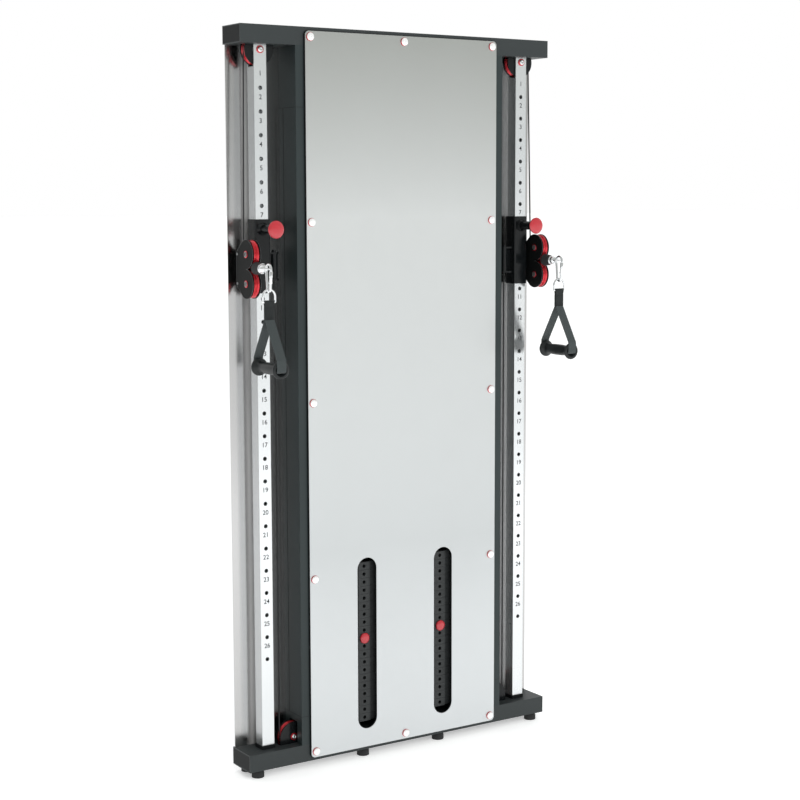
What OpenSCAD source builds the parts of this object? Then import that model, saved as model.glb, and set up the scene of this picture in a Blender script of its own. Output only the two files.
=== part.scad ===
// Wall pulley weight stack: a dual adjustable cable machine with two columns,
// two enclosed weight stacks behind a mirror panel, and a travelling pulley block on each column.
// Z is up, X runs across the machine and Y runs from the user to the wall.
// Heights are measured from the floor, and depths from the front face of the beams.

/* [Frame] */
// Height of the machine from the floor to the top of the top beam
height = 2200; // [2150:10:2300]
// Width over both beams
width = 1090; // [1080:5:1160]
// Height of each beam's section
beam_h = 52.5; // [50:0.5:58]
// Depth of each beam's section
beam_d = 108; // [106:1:116]
// Wall of the beams
beam_t = 3; // [2.5:0.5:4]
// Diameter of a foot
foot_d = 38; // [30:1:44]
// Height of a foot
foot_h = 22.5; // [18:0.5:26]
// Distance of the outer feet from the ends of the base beam
foot_inset = 37; // [30:1:45]
// Diameter of the wall fixing holes in the back of the beams
wall_hole_d = 11; // [9:0.5:13]
// Distance of the wall fixing holes from a beam's ends
wall_hole_inset = 65; // [45:5:95]
// Distance of the feet from the beam's front and back
foot_edge = 21; // [20:0.5:24]
// How far the plugs reach into the beams' ends
cap_depth = 18; // [12:1:22]

/* [Columns] */
// Side of the square column tube
column_w = 40; // [39:0.5:42]
// Wall of the column tube
column_t = 3; // [2:0.5:4]
// Distance of a column's centre from the ends of the beams
column_inset = 80; // [72:1:85]
// Depth of the plane that the columns, cables and pulleys share
plane_y = 52.5; // [51:0.5:54]
// Diameter of a position hole
hole_d = 10; // [9:0.5:11]
// Distance between position holes
hole_pitch = 67; // [64:0.5:68]
// Number of position holes
hole_count = 26; // [20:1:26]
// Height of the top position hole
hole_top = 2025; // [2010:1:2030]
// Height of the plastic boot at a column's foot
boot_h = 11; // [8:1:16]
// How far the boot stands out round the column
boot_t = 2.5; // [2:0.5:4]

/* [Panel] */
// How far the housing shows beside the panel
panel_margin = 27; // [22:1:34]
// Height of the panel's lower edge
panel_z = 32; // [28:1:36]
// Distance of the panel's upper edge below the top of the machine
panel_drop = 10; // [6:1:14]
// Thickness of the polished sheet
mirror_t = 2; // [1:0.5:2.5]
// Thickness of the black backing board
backing_t = 6; // [5:0.5:8]
// Radius of the panel's corners
panel_r = 14; // [8:1:20]
// Width of the backing's edge that shows round the polished sheet
backing_rim = 1.5; // [1:0.5:3]
// Width of a slot in front of a weight stack
slot_w = 68; // [60:1:72]
// Height of a slot
slot_h = 535; // [530:1:545]
// Height of a slot's lower end
slot_z = 91; // [86:1:96]
// Distance of the side studs from the panel's edge
stud_inset = 18; // [15:1:22]
// Diameter of the red collar under a stud's cap
collar_d = 24.5; // [20:0.5:28]
// Thickness of the red collar
collar_t = 2.5; // [2:0.5:4]
// Diameter of a stud's cap
cap_d = 20; // [16:0.5:22]
// Height of a stud's cap
cap_h = 3.5; // [3:0.5:6]
// Diameter of a stud's shank
stud_d = 8; // [6:0.5:10]

/* [Housing] */
// Distance from a column's centre to the housing's side
housing_gap = 97; // [93:1:101]
// Thickness of the housing's sheet
sheet_t = 2; // [1.5:0.5:3]
// Depth of the housing
housing_d = 105; // [104:0.5:106]
// Width of the housing's front strips
strip_w = 60; // [50:1:66]
// Thickness of the polished rear side panels
side_panel_t = 2; // [1.5:0.5:3]
// Depth of the front face of the rear side panels
side_panel_y = 98; // [96:0.5:100]

/* [Weight stacks] */
// Gap between the plates of the two stacks
stack_gap = 18; // [17:0.5:20]
// Number of plates in a stack
plate_count = 20; // [18:1:20]
// Number of plates above and at the selector pin
lifted_count = 10; // [2:1:16]
// Distance from one plate to the next
plate_pitch = 25; // [24:0.5:25]
// Gap between two plates
plate_gap = 0.5; // [0.4:0.1:1]
// Width of a plate
plate_w = 262; // [250:1:264]
// Depth of a plate without its nose
plate_d = 72; // [68:1:74]
// Width of the nose that shows in the slot
nose_w = 41; // [36:1:44]
// How far the nose stands in front of the plate
nose_d = 7.5; // [6:0.5:8]
// Height of the lowest plate's selector hole
low_hole_z = 121.5; // [118:0.5:124]
// Diameter of a selector hole
select_hole_d = 11; // [10.5:0.1:11.5]
// Diameter of a guide rod
rod_d = 25; // [20:1:26]
// Distance of a guide rod from the stack's centre
rod_x = 95; // [90:1:100]
// Depth of the tie over the guide rods
tie_d = 60; // [50:1:80]
// Thickness of the tie over the guide rods
tie_t = 8; // [6:1:12]
// Running gap round rods, stems and pins in the plates
slip = 0.6; // [0.4:0.1:1]
// Diameter of the rubber bumper round a guide rod
bumper_d = 49; // [44:1:52]
// Diameter of the selector stem
stem_d = 20; // [18:1:22]
// Diameter of the selector pin
select_pin_d = 10; // [9:0.1:10.2]
// Length of the selector pin behind its knob
select_pin_len = 72; // [66:1:76]
// Diameter of the selector knob
select_knob_d = 33; // [28:1:36]
// Thickness of the selector knob
select_knob_t = 8; // [5:0.5:8]

/* [Cable and pulleys] */
// Diameter of the coated cable
cable_d = 4.5; // [4:0.1:5]
// Radius of the top pulley at the cable's centre
top_r = 42.5; // [40:0.5:44]
// Radius of the bottom pulley at the cable's centre
bottom_r = 41.5; // [40:0.5:43]
// Radius of the block pulleys at the cable's centre
block_r = 38.5; // [37:0.5:38.5]
// How far a pulley's rim stands outside the cable's centre
rim = 2.5; // [2:0.5:3]
// Width of a pulley
pulley_w = 16; // [14:0.5:17]
// Radius of a pulley's axle
axle_r = 5; // [4:0.5:6]
// Running gap round an axle
axle_slip = 0.05; // [0.03:0.01:0.1]
// Radius of a guard disc outside the cable's centre
guard_rim = 4; // [3.5:0.5:5]
// Distance over a pair of guard discs
guard_w = 28; // [26:0.5:30]
// Thickness of a guard disc
guard_t = 3; // [2:0.5:4]
// Height of the top pulley's axle below the top of the machine
top_axle_drop = 67; // [64:1:70]
// Height of the bottom pulley's axle
bottom_axle_z = 95; // [93:1:98]
// Distance of the inner cable's run from the column's centre
cable_gap = 48.5; // [46:0.5:50]
// Height of the return pulley's axle below the top of the machine
return_axle_drop = 170; // [160:5:200]
// Height of the floating pulley's axle above the stack's top plate
float_axle_rise = 72; // [66:1:90]
// Width of the floating pulley's fork
fork_w = 32; // [28:1:36]
// Radius of a pulley hanger's round end
hanger_r = 14; // [12:1:18]
// Radius of the red ring under an axle's head
axle_ring_r = 11; // [10:0.5:12]
// Thickness of the red ring under an axle's head
axle_ring_t = 3; // [2:0.5:4]
// Radius of an axle's domed head
axle_head_r = 8.5; // [7.5:0.5:9.5]
// Height of an axle's domed head
axle_head_t = 4; // [3:0.5:5]

/* [Carriage] */
// Position hole that the carriage rests at, counted from the top
rest_hole = 7; // [5:1:9]
// Outer side of the sleeve
sleeve_w = 50; // [49:0.5:51]
// Wall of the sleeve
sleeve_t = 4.5; // [3.5:0.1:4.7]
// Length of the sleeve
sleeve_h = 213; // [200:1:225]
// Distance from the position pin up to the sleeve's upper end
sleeve_top = 28.5; // [25:0.5:34]
// Radius of the sleeve's corners
sleeve_r = 6; // [4:0.5:8]
// Diameter of the pop pin's barrel
barrel_d = 26.5; // [24:0.5:30]
// Diameter of the barrel's flared foot on the sleeve
barrel_foot_d = 38; // [34:1:38]
// Length of the barrel's flared foot
barrel_foot_t = 9; // [6:1:14]
// Depth of the barrel's front end in front of the beams
barrel_front = 28; // [24:1:32]
// Diameter of the pop pin
pop_pin_d = 9; // [8:0.1:9.2]
// Diameter of the pop pin's knob
pop_knob_d = 50; // [44:1:54]
// Height of the domed face of the pop pin's knob
pop_dome_t = 5; // [3:0.5:7]
// Height of the rim of the pop pin's knob
pop_rim_t = 5; // [3:0.5:6]
// Depth of the knob's face in front of the beams
pop_knob_front = 59; // [56:1:64]
// How far the pop pin goes into a position hole
pop_travel = 8; // [7:0.5:9]
// Height of the cable anchor on the sleeve's inner side
anchor_h = 82; // [76:1:90]
// Width of the cable anchor's end plates from front to back
anchor_w = 28; // [26:1:32]
// Diameter of the cable anchor's tube
anchor_d = 22; // [18:1:25]
// Thickness of the cable anchor's end plates
anchor_t = 5; // [4:0.5:7]
// How far the anchor's middle lies above the block's
anchor_rise = 4.5; // [0:0.5:10]

/* [Pulley block] */
// Distance of the block's middle plane from the column's centre
block_gap = 53; // [51:0.5:56]
// Width over the block's two plates
block_w = 26; // [25:0.5:27]
// Thickness of a block plate
block_t = 3; // [2:0.5:3.5]
// Depth of the block's pulley axles
block_y = 9; // [7:0.5:11]
// Distance of the block's middle below the position pin
block_drop = 113; // [110:0.5:118]
// Distance between the block's two axles
block_span = 85; // [84:0.5:88]
// Radius of the block's round lobes
lobe_r = 42; // [41.5:0.5:43]
// Depth of the block's straight rear edge
block_rear = 68; // [66:0.5:70]
// Height of the block's straight rear edge
block_rear_h = 93; // [84:1:100]
// Depth of the spacer between the block's plates
spacer_d = 11; // [9:0.5:13]
// Radius of the screws at the block's rear edge
screw_r = 3; // [2.5:0.5:4]
// Distance of the screws from the block's rear edge
screw_inset = 6; // [5:0.5:8]
// How far the bridge to the sleeve reaches below the block's middle
bridge_low = 33; // [26:1:38]
// How far the bridge to the sleeve reaches above the block's middle
bridge_high = 45; // [38:1:48]
// Depth of the bridge to the sleeve
bridge_d = 17; // [14:1:20]
// Radius of the round heads of the block's axles
block_head_r = 10.5; // [9:0.5:12]
// Height of the round heads of the block's axles
block_head_t = 3.5; // [2.5:0.5:4]

/* [Handle] */
// Diameter of the rubber stop at its rear end
stop_d1 = 37; // [34:1:38]
// Diameter of the rubber stop at its front end
stop_d2 = 30; // [26:1:32]
// Depth of the rubber stop's front end in front of the beams
stop_front = 65; // [62:1:70]
// Diameter of the chrome ball at the cable's end
ball_d = 26; // [22:1:28]
// Depth of the front bar of the eye that holds the carabiner, in front of the beams
eye_front = 102; // [101:0.5:106]
// Diameter of the eye's bar
eye_bar = 6.5; // [5.5:0.5:7]
// Width of the carabiner
hook_w = 32; // [31:0.5:33]
// Height of the carabiner
hook_h = 78; // [72:1:84]
// Diameter of the carabiner's bar
hook_bar = 7; // [6:0.5:7.5]
// Width of the D-ring
ring_w = 45; // [42:1:50]
// Height of the D-ring
ring_h = 42; // [38:1:46]
// Diameter of the D-ring's bar
ring_bar = 6; // [5:0.5:6.5]
// Width of the webbing
strap_w = 30; // [26:1:32]
// Thickness of the webbing
strap_t = 4; // [3:0.5:5]
// Height of the sewn fold under the D-ring
fold_h = 46; // [38:1:54]
// Height of the grip's centre below the carabiner's upper end
grip_drop = 291; // [260:1:298]
// Length of the grip over its end flanges
grip_len = 134; // [124:1:144]
// Diameter of the grip beside its flanges
grip_d = 30; // [28:0.5:33]
// How much thicker the grip is in its middle
grip_swell = 4; // [0:0.5:5]
// Bore of the grip, which the webbing runs through
grip_bore = 22; // [20:0.5:24]
// Diameter of the grip's mouths, which open like cups
mouth_d = 36; // [32:1:40]
// Depth of the grip's mouths
mouth_depth = 14; // [8:1:20]
// Diameter of the grip's end flanges
flange_d = 48; // [43:1:52]
// Thickness of a grip's end flange
flange_t = 9; // [6:0.5:11]

/* [Hidden] */
LEFT = -1;
RIGHT = 1;
SIDES = [LEFT, RIGHT];
charcoal = "#3A3C3C";
black = "#1C1D1E";
chrome = "#D8DADC";
red = "#C8303A";
// Small gap between pieces of different bodies that seat on each other
seat_gap = 0.3;
column_x = width / 2 - column_inset;
housing_w = 2 * (column_x - housing_gap);
panel_w = housing_w - 2 * panel_margin;
wall_hole_span = width - 2 * wall_hole_inset;
anchor_x = column_x - cable_gap;
bottom_axle_x = anchor_x - bottom_r;
block_x = column_x + block_gap;
base_top = foot_h + beam_h;
foot_taper = 0.65 * foot_h;
top_under = height - beam_h;
// Small overlap or set-back between the parts of one piece
step = 1;
// Play between a hole and the bolt or stud in it
bolt_play = 0.25;
axle_hole_r = axle_r + axle_slip;
top_axle_z = height - top_axle_drop;
return_axle_z = height - return_axle_drop;
rim_top = top_r + rim;
guard_top_r = top_r + guard_rim;
guard_bottom_r = bottom_r + guard_rim;
// Opening that a pair of guard discs passes through
guard_slot_w = guard_w + 3;
slot_play = 1.5;
stack_x = (plate_w + stack_gap) / 2;
run_out = stack_x - top_r;
run_in = stack_x + top_r;
run_back = bottom_axle_x - bottom_r;
return_r = (run_back - run_in) / 2;
tie_z = return_axle_z - return_r - rim - 12 - tie_t;
return_x = (run_back + run_in) / 2;
pin_z = hole_top - (rest_hole - 1) * hole_pitch;
sleeve_z = pin_z + sleeve_top - sleeve_h;
sleeve_inner_x = column_x - sleeve_w / 2;
sleeve_outer_x = column_x + sleeve_w / 2;
block_z = pin_z - block_drop;
upper_z = block_z + block_span / 2;
lower_z = block_z - block_span / 2;
cable_z = upper_z - block_r;
anchor_z = block_z - anchor_h / 2 + anchor_rise;
panel_top = height - panel_drop;
panel_h = panel_top - panel_z;
stud_x = panel_w / 2 - stud_inset;
stud_low = panel_z + stud_inset + 1;
stud_high = panel_top - stud_inset;
stud_rows = 5;
stud_pitch = (stud_high - stud_low) / (stud_rows - 1);
// Places of the studs: five rows at each side and one in the middle of the first and last row
stud_places = concat(
    [for (s = SIDES, i = [0:stud_rows - 1]) [s * stud_x, stud_low + i * stud_pitch]],
    [[0, stud_low], [0, stud_high]]);
plate_h = plate_pitch - plate_gap;
plate_y = plane_y - plate_d / 2;
nose_y = plate_y - nose_d;
stack_low = low_hole_z - plate_h / 2;
top_hole_z = low_hole_z + (plate_count - 1) * plate_pitch;
stack_top = top_hole_z + plate_h / 2;
select_z = top_hole_z - (lifted_count - 1) * plate_pitch;
float_z = stack_top + float_axle_rise;
// How far the stem stands out of the top plate, and ends above the lowest plate's underside
stem_rise = 6;
stem_low = stack_low + stem_rise;
hook_y = -eye_front;
hook_top = cable_z + eye_bar / 2 + seat_gap + hook_bar;
ball_y = -stop_front - ball_d / 4;
screw_y = block_rear - screw_inset;
screw_heights = [lower_z, upper_z];
bridge_back = block_rear - step;
// The eye's ring reaches from inside the ball to its front bar
eye_r = (ball_y - ball_d / 2 - hook_y + eye_bar / 2) / 2;
ring_top = hook_top - hook_h + hook_bar + ring_bar + seat_gap;
ring_low = ring_top - ring_h;
grip_z = hook_top - grip_drop;
// Depths over the whole machine, from the front of the straps to the back of the beams
front_reach = -hook_y + grip_len / 2 + seat_gap + strap_t;
front_y = (front_reach - beam_d) / 2;
$fn = 64;

// Places geometry so that the origin lies under the middle of the machine
module place(side = RIGHT) {
    translate([0, front_y, 0])
        mirror([side == LEFT ? 1 : 0, 0, 0])
            children();
}
module along_y(x, y, z) {
    translate([x, y, z]) rotate([-90, 0, 0]) children();
}
module along_x(x, y, z) {
    translate([x, y, z]) rotate([0, 90, 0]) children();
}
// Box given by its low and high corners
module block_between(a, b) {
    translate(a) cube(b - a);
}
module rounded_rect(w, h, r) {
    union() {
        square([w - 2 * r, h], center = true);
        square([w, h - 2 * r], center = true);
        for (x = [-1, 1], y = [-1, 1]) translate([x * (w / 2 - r), y * (h / 2 - r)]) circle(r);
    }
}
module tube_rect(w, h, t, len) {
    linear_extrude(len) difference() {
        square([w, h], center = true);
        square([w - 2 * t, h - 2 * t], center = true);
    }
}

// Opening round an axle at x, z that lets a pulley of radius r and width w through a beam's wall
module pulley_opening(x, z, r, w) {
    translate([x, plane_y, z])
        cube([2 * (r + slot_play), w, 2 * (r + slot_play)], center = true);
}
module beam(z) {
    translate([-width / 2, beam_d / 2, z + beam_h / 2])
        rotate([90, 0, 90])
            tube_rect(beam_d, beam_h, beam_t, width);
}
module wall_holes(z) {
    for (s = SIDES) along_y(s * wall_hole_span / 2, beam_d - 2 * beam_t, z)
        cylinder(3 * beam_t, d = wall_hole_d);
}
module base_beam() {
    color(charcoal) place() difference() {
        beam(foot_h);
        for (s = SIDES) pulley_opening(s * bottom_axle_x, bottom_axle_z, guard_bottom_r, guard_slot_w);
        wall_holes(foot_h + beam_h / 2);
        stud_holes();
    }
}
module top_beam() {
    color(charcoal) place() {
        difference() {
            beam(top_under);
            for (s = SIDES) {
                pulley_opening(s * column_x, top_axle_z, guard_top_r, guard_slot_w);
                pulley_opening(s * stack_x, top_axle_z, rim_top, pulley_w + 4);
            }
            wall_holes(height - beam_h / 2);
            stud_holes();
        }
    }
}
// Plastic plugs in the beams' ends, and the boots round the columns' feet
module end_caps() {
    color(black) for (s = SIDES) place(s) {
        for (z = [foot_h, top_under])
            block_between([width / 2 - cap_depth, beam_t, z + beam_t],
                [width / 2, beam_d - beam_t, z + beam_h - beam_t]);
        column_boot();
    }
}
module feet() {
    color(black) place() for (s = SIDES, x = [width / 2 - foot_inset, stack_x], front = [true, false])
        translate([s * x, front ? foot_edge : beam_d - foot_edge, 0]) {
            cylinder(foot_taper, d = foot_d);
            translate([0, 0, foot_taper]) cylinder(foot_h - foot_taper, d1 = foot_d, d2 = foot_d - 8);
        }
}

module housing() {
    color(charcoal) place() difference() {
        union() {
            for (s = SIDES) mirror([s == LEFT ? 1 : 0, 0, 0]) {
                // Side wall
                block_between([housing_w / 2 - sheet_t, 0, base_top], [housing_w / 2, housing_d, top_under]);
                // Front strip, folded in from the side wall
                block_between([housing_w / 2 - strip_w, 0, base_top], [housing_w / 2, sheet_t, top_under]);
            }
            // Rear cover
            block_between([-housing_w / 2, housing_d - sheet_t, base_top],
                [housing_w / 2, housing_d, top_under]);
        }
        for (s = SIDES) pulley_opening(s * bottom_axle_x, bottom_axle_z, guard_bottom_r, guard_slot_w + 18);
        stud_holes();
    }
}
module rear_side_panels() {
    color(chrome) place() for (s = SIDES) mirror([s == LEFT ? 1 : 0, 0, 0])
        block_between([housing_w / 2, side_panel_y, base_top],
            [width / 2 - side_panel_t, side_panel_y + side_panel_t, top_under]);
}

module stud_holes() {
    for (p = stud_places) along_y(p[0], -20, p[1]) cylinder(20 + beam_t + 2, d = stud_d + 2 * bolt_play);
}
// Slots with round ends in front of the stacks
module slot_cuts() {
    for (s = SIDES) translate([s * stack_x, 0, slot_z + slot_h / 2]) rotate([90, 0, 0])
        linear_extrude(4 * backing_t, center = true) rounded_rect(slot_w, slot_h, slot_w / 2 - 0.01);
}
module panel_sheet(w, h, y, t, r) {
    difference() {
        translate([0, y + t, panel_z + panel_h / 2]) rotate([90, 0, 0])
            linear_extrude(t) rounded_rect(w, h, r);
        slot_cuts();
        stud_holes();
    }
}
module panel_backing() {
    color(black) place() panel_sheet(panel_w, panel_h, -backing_t, backing_t, panel_r);
}
module mirror_panel() {
    color("#B3B5B0") place()
        panel_sheet(panel_w - 2 * backing_rim, panel_h - 2 * backing_rim,
            -backing_t - mirror_t, mirror_t, panel_r - backing_rim);
}
module stud_collars() {
    panel_front = -backing_t - mirror_t;
    color(red) place() for (p = stud_places)
        along_y(p[0], panel_front - collar_t, p[1]) difference() {
            cylinder(collar_t, d = collar_d);
            translate([0, 0, -1]) cylinder(collar_t + 2, d = stud_d);
        }
}
// Chrome cap and shank, screwed through the panel into the frame
module stud_caps() {
    cap_y = -backing_t - mirror_t - collar_t;
    color(chrome) place() for (p = stud_places) {
        along_y(p[0], cap_y - cap_h + 1.2, p[1]) cylinder(cap_h - 1.2, d = cap_d);
        along_y(p[0], cap_y - cap_h, p[1]) cylinder(1.2, d1 = cap_d - 3, d2 = cap_d);
        along_y(p[0], cap_y, p[1]) cylinder(-cap_y + beam_t, d = stud_d);
    }
}

// Column tube, open at the top for its pulley, with a row of position holes in front
module column() {
    col_z = base_top;
    difference() {
        translate([column_x, plane_y, col_z]) tube_rect(column_w, column_w, column_t, top_under - col_z);
        for (i = [0:hole_count - 1])
            along_y(column_x, plane_y - column_w / 2 - 1, hole_top - i * hole_pitch)
                cylinder(column_t + 2, d = hole_d);
        pulley_opening(column_x, top_axle_z, guard_top_r, guard_slot_w);
        along_y(column_x, plane_y - column_w, top_axle_z) cylinder(2 * column_w, r = axle_hole_r);
    }
}
module columns() {
    color(chrome) place() for (s = SIDES) mirror([s == LEFT ? 1 : 0, 0, 0]) column();
}
module column_boot() {
    translate([column_x, plane_y, base_top]) linear_extrude(boot_h) difference() {
        rounded_rect(column_w + 2 * boot_t, column_w + 2 * boot_t, boot_t);
        square(column_w + 0.02, center = true);
    }
}
// Guide rods of both stacks, with the cross tie that holds their upper ends
module guide_rods() {
    color(chrome) place() {
        for (s = SIDES, x = [-rod_x, rod_x])
            translate([s * stack_x + x, plane_y, base_top]) cylinder(tie_z - base_top, d = rod_d);
        difference() {
            block_between([sheet_t - housing_w / 2, plane_y - tie_d / 2, tie_z],
                [housing_w / 2 - sheet_t, plane_y + tie_d / 2, tie_z + tie_t]);
            for (s = SIDES, x = [run_out, run_in, run_back])
                translate([s * x, plane_y, tie_z - 1]) cylinder(tie_t + 2, d = 4 * cable_d);
        }
    }
}
module rod_bumpers() {
    color(black) place() for (s = SIDES, x = [-rod_x, rod_x])
        translate([s * stack_x + x, plane_y, base_top]) difference() {
            cylinder(stack_low - base_top, d = bumper_d);
            translate([0, 0, -1]) cylinder(stack_low - base_top + 2, d = rod_d + 0.02);
        }
}

// One weight plate with its nose, rod holes, stem hole and selector hole
module weight_plate(z) {
    translate([stack_x, 0, z]) difference() {
        union() {
            translate([-plate_w / 2, plate_y, -plate_h / 2]) cube([plate_w, plate_d, plate_h]);
            translate([-nose_w / 2, nose_y, -plate_h / 2]) cube([nose_w, nose_d + 1, plate_h]);
        }
        for (x = [-rod_x, rod_x]) translate([x, plane_y, -plate_h])
            cylinder(2 * plate_h, d = rod_d + 2 * slip);
        translate([0, plane_y, -plate_h]) cylinder(2 * plate_h, d = stem_d + 2 * slip);
        along_y(0, nose_y - 1, 0) cylinder(select_pin_len + 5, d = select_hole_d);
    }
}
module plates(first, last) {
    for (k = [first:last]) weight_plate(top_hole_z - (k - 1) * plate_pitch);
}
module lower_plates() {
    color(charcoal) for (s = SIDES) place(s) plates(lifted_count + 1, plate_count);
}
module upper_plates(side) {
    color(charcoal) place(side) plates(1, lifted_count);
}
// Selector stem with a hole for each plate, and the fork of the floating pulley on its top
module stem(side) {
    fork_d = guard_w + 2 * guard_t;
    foot_t = stem_rise + 2;
    color(chrome) place(side) {
        difference() {
            translate([stack_x, plane_y, stem_low]) cylinder(stack_top + stem_rise - stem_low, d = stem_d);
            for (k = [0:plate_count - 1])
                along_y(stack_x, plane_y - stem_d, low_hole_z + k * plate_pitch)
                    cylinder(2 * stem_d, d = select_hole_d);
        }
        translate([stack_x, plane_y, stack_top + stem_rise]) difference() {
            translate([-fork_w / 2, -fork_d / 2, 0]) cube([fork_w, fork_d, float_axle_rise + fork_w / 3]);
            translate([-fork_w, -guard_w / 2, foot_t]) cube([2 * fork_w, guard_w, float_axle_rise + fork_w]);
            along_y(0, -fork_d, float_axle_rise - stem_rise) cylinder(2 * fork_d, r = axle_hole_r);
        }
        along_y(stack_x, plane_y - fork_d / 2 - axle_head_t, float_z)
            cylinder(fork_d + 2 * axle_head_t, r = axle_r);
        // Half turn of the cable under the floating pulley
        cable_arc(stack_x, float_z, top_r, 180, 180);
    }
}
module selector_pin(side) {
    knob_y = nose_y - select_knob_t;
    color(red) place(side) {
        along_y(stack_x, knob_y, select_z)
            cylinder(select_knob_t - 2, d1 = select_knob_d - 4, d2 = select_knob_d);
        along_y(stack_x, knob_y + select_knob_t - 2, select_z)
            cylinder(2 - seat_gap, d = select_knob_d);
        along_y(stack_x, knob_y + select_knob_t - 1, select_z) cylinder(select_pin_len, d = select_pin_d);
    }
}

// Grooved pulley whose axis runs along Z, with a web and a hub bored for its axle
module pulley(r, w, hole_r) {
    half_cable = cable_d / 2 + seat_gap;
    rotate_extrude() difference() {
        union() {
            translate([hole_r, -w / 2]) square([9, w]);
            translate([hole_r + 8, -w / 4]) square([r - hole_r - 14, w / 2]);
            translate([r - 8, -w / 2]) square([8 + rim, w]);
        }
        polygon([[r - half_cable, 0], [r, half_cable], [r + rim + 1, w / 2 - 1.5],
            [r + rim + 1, 1.5 - w / 2], [r, -half_cable]]);
        translate([r, 0]) circle(half_cable, $fn = 32);
    }
}
module pulley_y(x, z, r) {
    along_y(x, plane_y, z) pulley(r, pulley_w, axle_hole_r);
}
module pulley_x(z) {
    along_x(block_x, block_y, z) pulley(block_r, pulley_w, axle_hole_r);
}
module top_pulley(side) {
    color(red) place(side) pulley_y(column_x, top_axle_z, top_r);
}
module bottom_pulley(side) {
    color(red) place(side) pulley_y(bottom_axle_x, bottom_axle_z, bottom_r);
}
module beam_pulley(side) {
    color(red) place(side) pulley_y(stack_x, top_axle_z, top_r);
}
module return_pulley(side) {
    color(red) place(side) pulley_y(return_x, return_axle_z, return_r);
}
module float_pulley(side) {
    color(red) place(side) pulley_y(stack_x, float_z, top_r);
}
module block_pulley_upper(side) {
    color(red) place(side) pulley_x(upper_z);
}
module block_pulley_lower(side) {
    color(red) place(side) pulley_x(lower_z);
}

// Pair of discs that keep the cable in a pulley's groove
module guard_pair(x, z, r) {
    for (y = [plane_y - guard_w / 2, plane_y + guard_w / 2 - guard_t])
        along_y(x, y, z) difference() {
            cylinder(guard_t, r = r);
            translate([0, 0, -1]) cylinder(guard_t + 2, r = axle_hole_r);
        }
}
module bottom_guard_feet() {
    for (y = [plane_y - guard_w / 2, plane_y + guard_w / 2 - guard_t])
        difference() {
            block_between([bottom_axle_x - guard_bottom_r, y, base_top],
                [bottom_axle_x + guard_bottom_r, y + guard_t, bottom_axle_z]);
            along_y(bottom_axle_x, y - 1, bottom_axle_z) cylinder(guard_t + 2, r = axle_hole_r);
        }
}
// Two flat hangers under the top beam that carry a pulley's axle
module hanger(x, z) {
    for (y = [plane_y - guard_w / 2 - guard_t, plane_y + guard_w / 2])
        difference() {
            union() {
                block_between([x - hanger_r, y, z], [x + hanger_r, y + guard_t, top_under]);
                along_y(x, y, z) cylinder(guard_t, r = hanger_r);
            }
            along_y(x, y - 1, z) cylinder(guard_t + 2, r = axle_hole_r);
        }
}
module pulley_guards() {
    color(black) for (s = SIDES) place(s) {
        guard_pair(column_x, top_axle_z, guard_top_r);
        guard_pair(bottom_axle_x, bottom_axle_z, guard_bottom_r);
        bottom_guard_feet();
        hanger(stack_x, top_axle_z);
        hanger(return_x, return_axle_z);
    }
}
// Axle along Y with a domed head in front
module axle_bolt(x, z, y0, y1) {
    along_y(x, y0, z) cylinder(y1 - y0, r = axle_r);
    along_y(x, y0 - axle_head_t, z) cylinder(axle_head_t, r1 = 0.7 * axle_head_r, r2 = axle_head_r);
    along_y(x, y1, z) cylinder(axle_head_t + 1, r = axle_head_r - 0.5);
}
module axle_bolts() {
    color(chrome) for (s = SIDES) place(s) {
        axle_bolt(column_x, top_axle_z, plane_y - column_w / 2 - axle_ring_t, plane_y + column_w / 2);
        axle_bolt(bottom_axle_x, bottom_axle_z, plane_y - guard_w / 2 - axle_ring_t, plane_y + guard_w / 2);
        for (p = [[stack_x, top_axle_z], [return_x, return_axle_z]])
            axle_bolt(p[0], p[1], plane_y - guard_w / 2 - guard_t, plane_y + guard_w / 2 + guard_t);
    }
}
module axle_ring(x, z, y) {
    along_y(x, y, z) difference() {
        cylinder(axle_ring_t, r = axle_ring_r);
        translate([0, 0, -1]) cylinder(axle_ring_t + 2, r = axle_hole_r);
    }
}
module axle_rings() {
    color(red) for (s = SIDES) place(s) {
        axle_ring(column_x, top_axle_z, plane_y - column_w / 2 - axle_ring_t);
        axle_ring(bottom_axle_x, bottom_axle_z, plane_y - guard_w / 2 - axle_ring_t);
    }
}

// Arc of cable in the plane of the frame pulleys, from angle a through sweep degrees
module cable_arc(x, z, r, a, sweep) {
    translate([x, plane_y, z]) rotate([90, 0, 0]) rotate([0, 0, a])
        rotate_extrude(angle = sweep) translate([r, 0]) circle(d = cable_d, $fn = 24);
}
module cable_up(x, z0, z1) {
    translate([x, plane_y, z0]) cylinder(z1 - z0, d = cable_d, $fn = 24);
}
// The lengths of cable that no joint stretches: over the top pulleys and down to the base
module fixed_cables() {
    color(black) for (s = SIDES) place(s) {
        cable_arc(column_x, top_axle_z, top_r, 0, 90);
        along_x(stack_x, plane_y, top_axle_z + top_r) cylinder(column_x - stack_x, d = cable_d, $fn = 24);
        cable_arc(stack_x, top_axle_z, top_r, 90, 90);
        cable_up(run_out, return_axle_z, top_axle_z);
        cable_arc(return_x, return_axle_z, return_r, 0, 180);
        cable_up(run_back, bottom_axle_z, return_axle_z);
        cable_arc(bottom_axle_x, bottom_axle_z, bottom_r, 180, 180);
    }
}
module lift_cables(side) {
    color(black) place(side) for (x = [run_out, run_in])
        cable_up(x, float_z + seat_gap, return_axle_z - seat_gap);
}
module inner_cable(side) {
    color(black) place(side) cable_up(anchor_x, bottom_axle_z + seat_gap, anchor_z - seat_gap);
}
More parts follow.
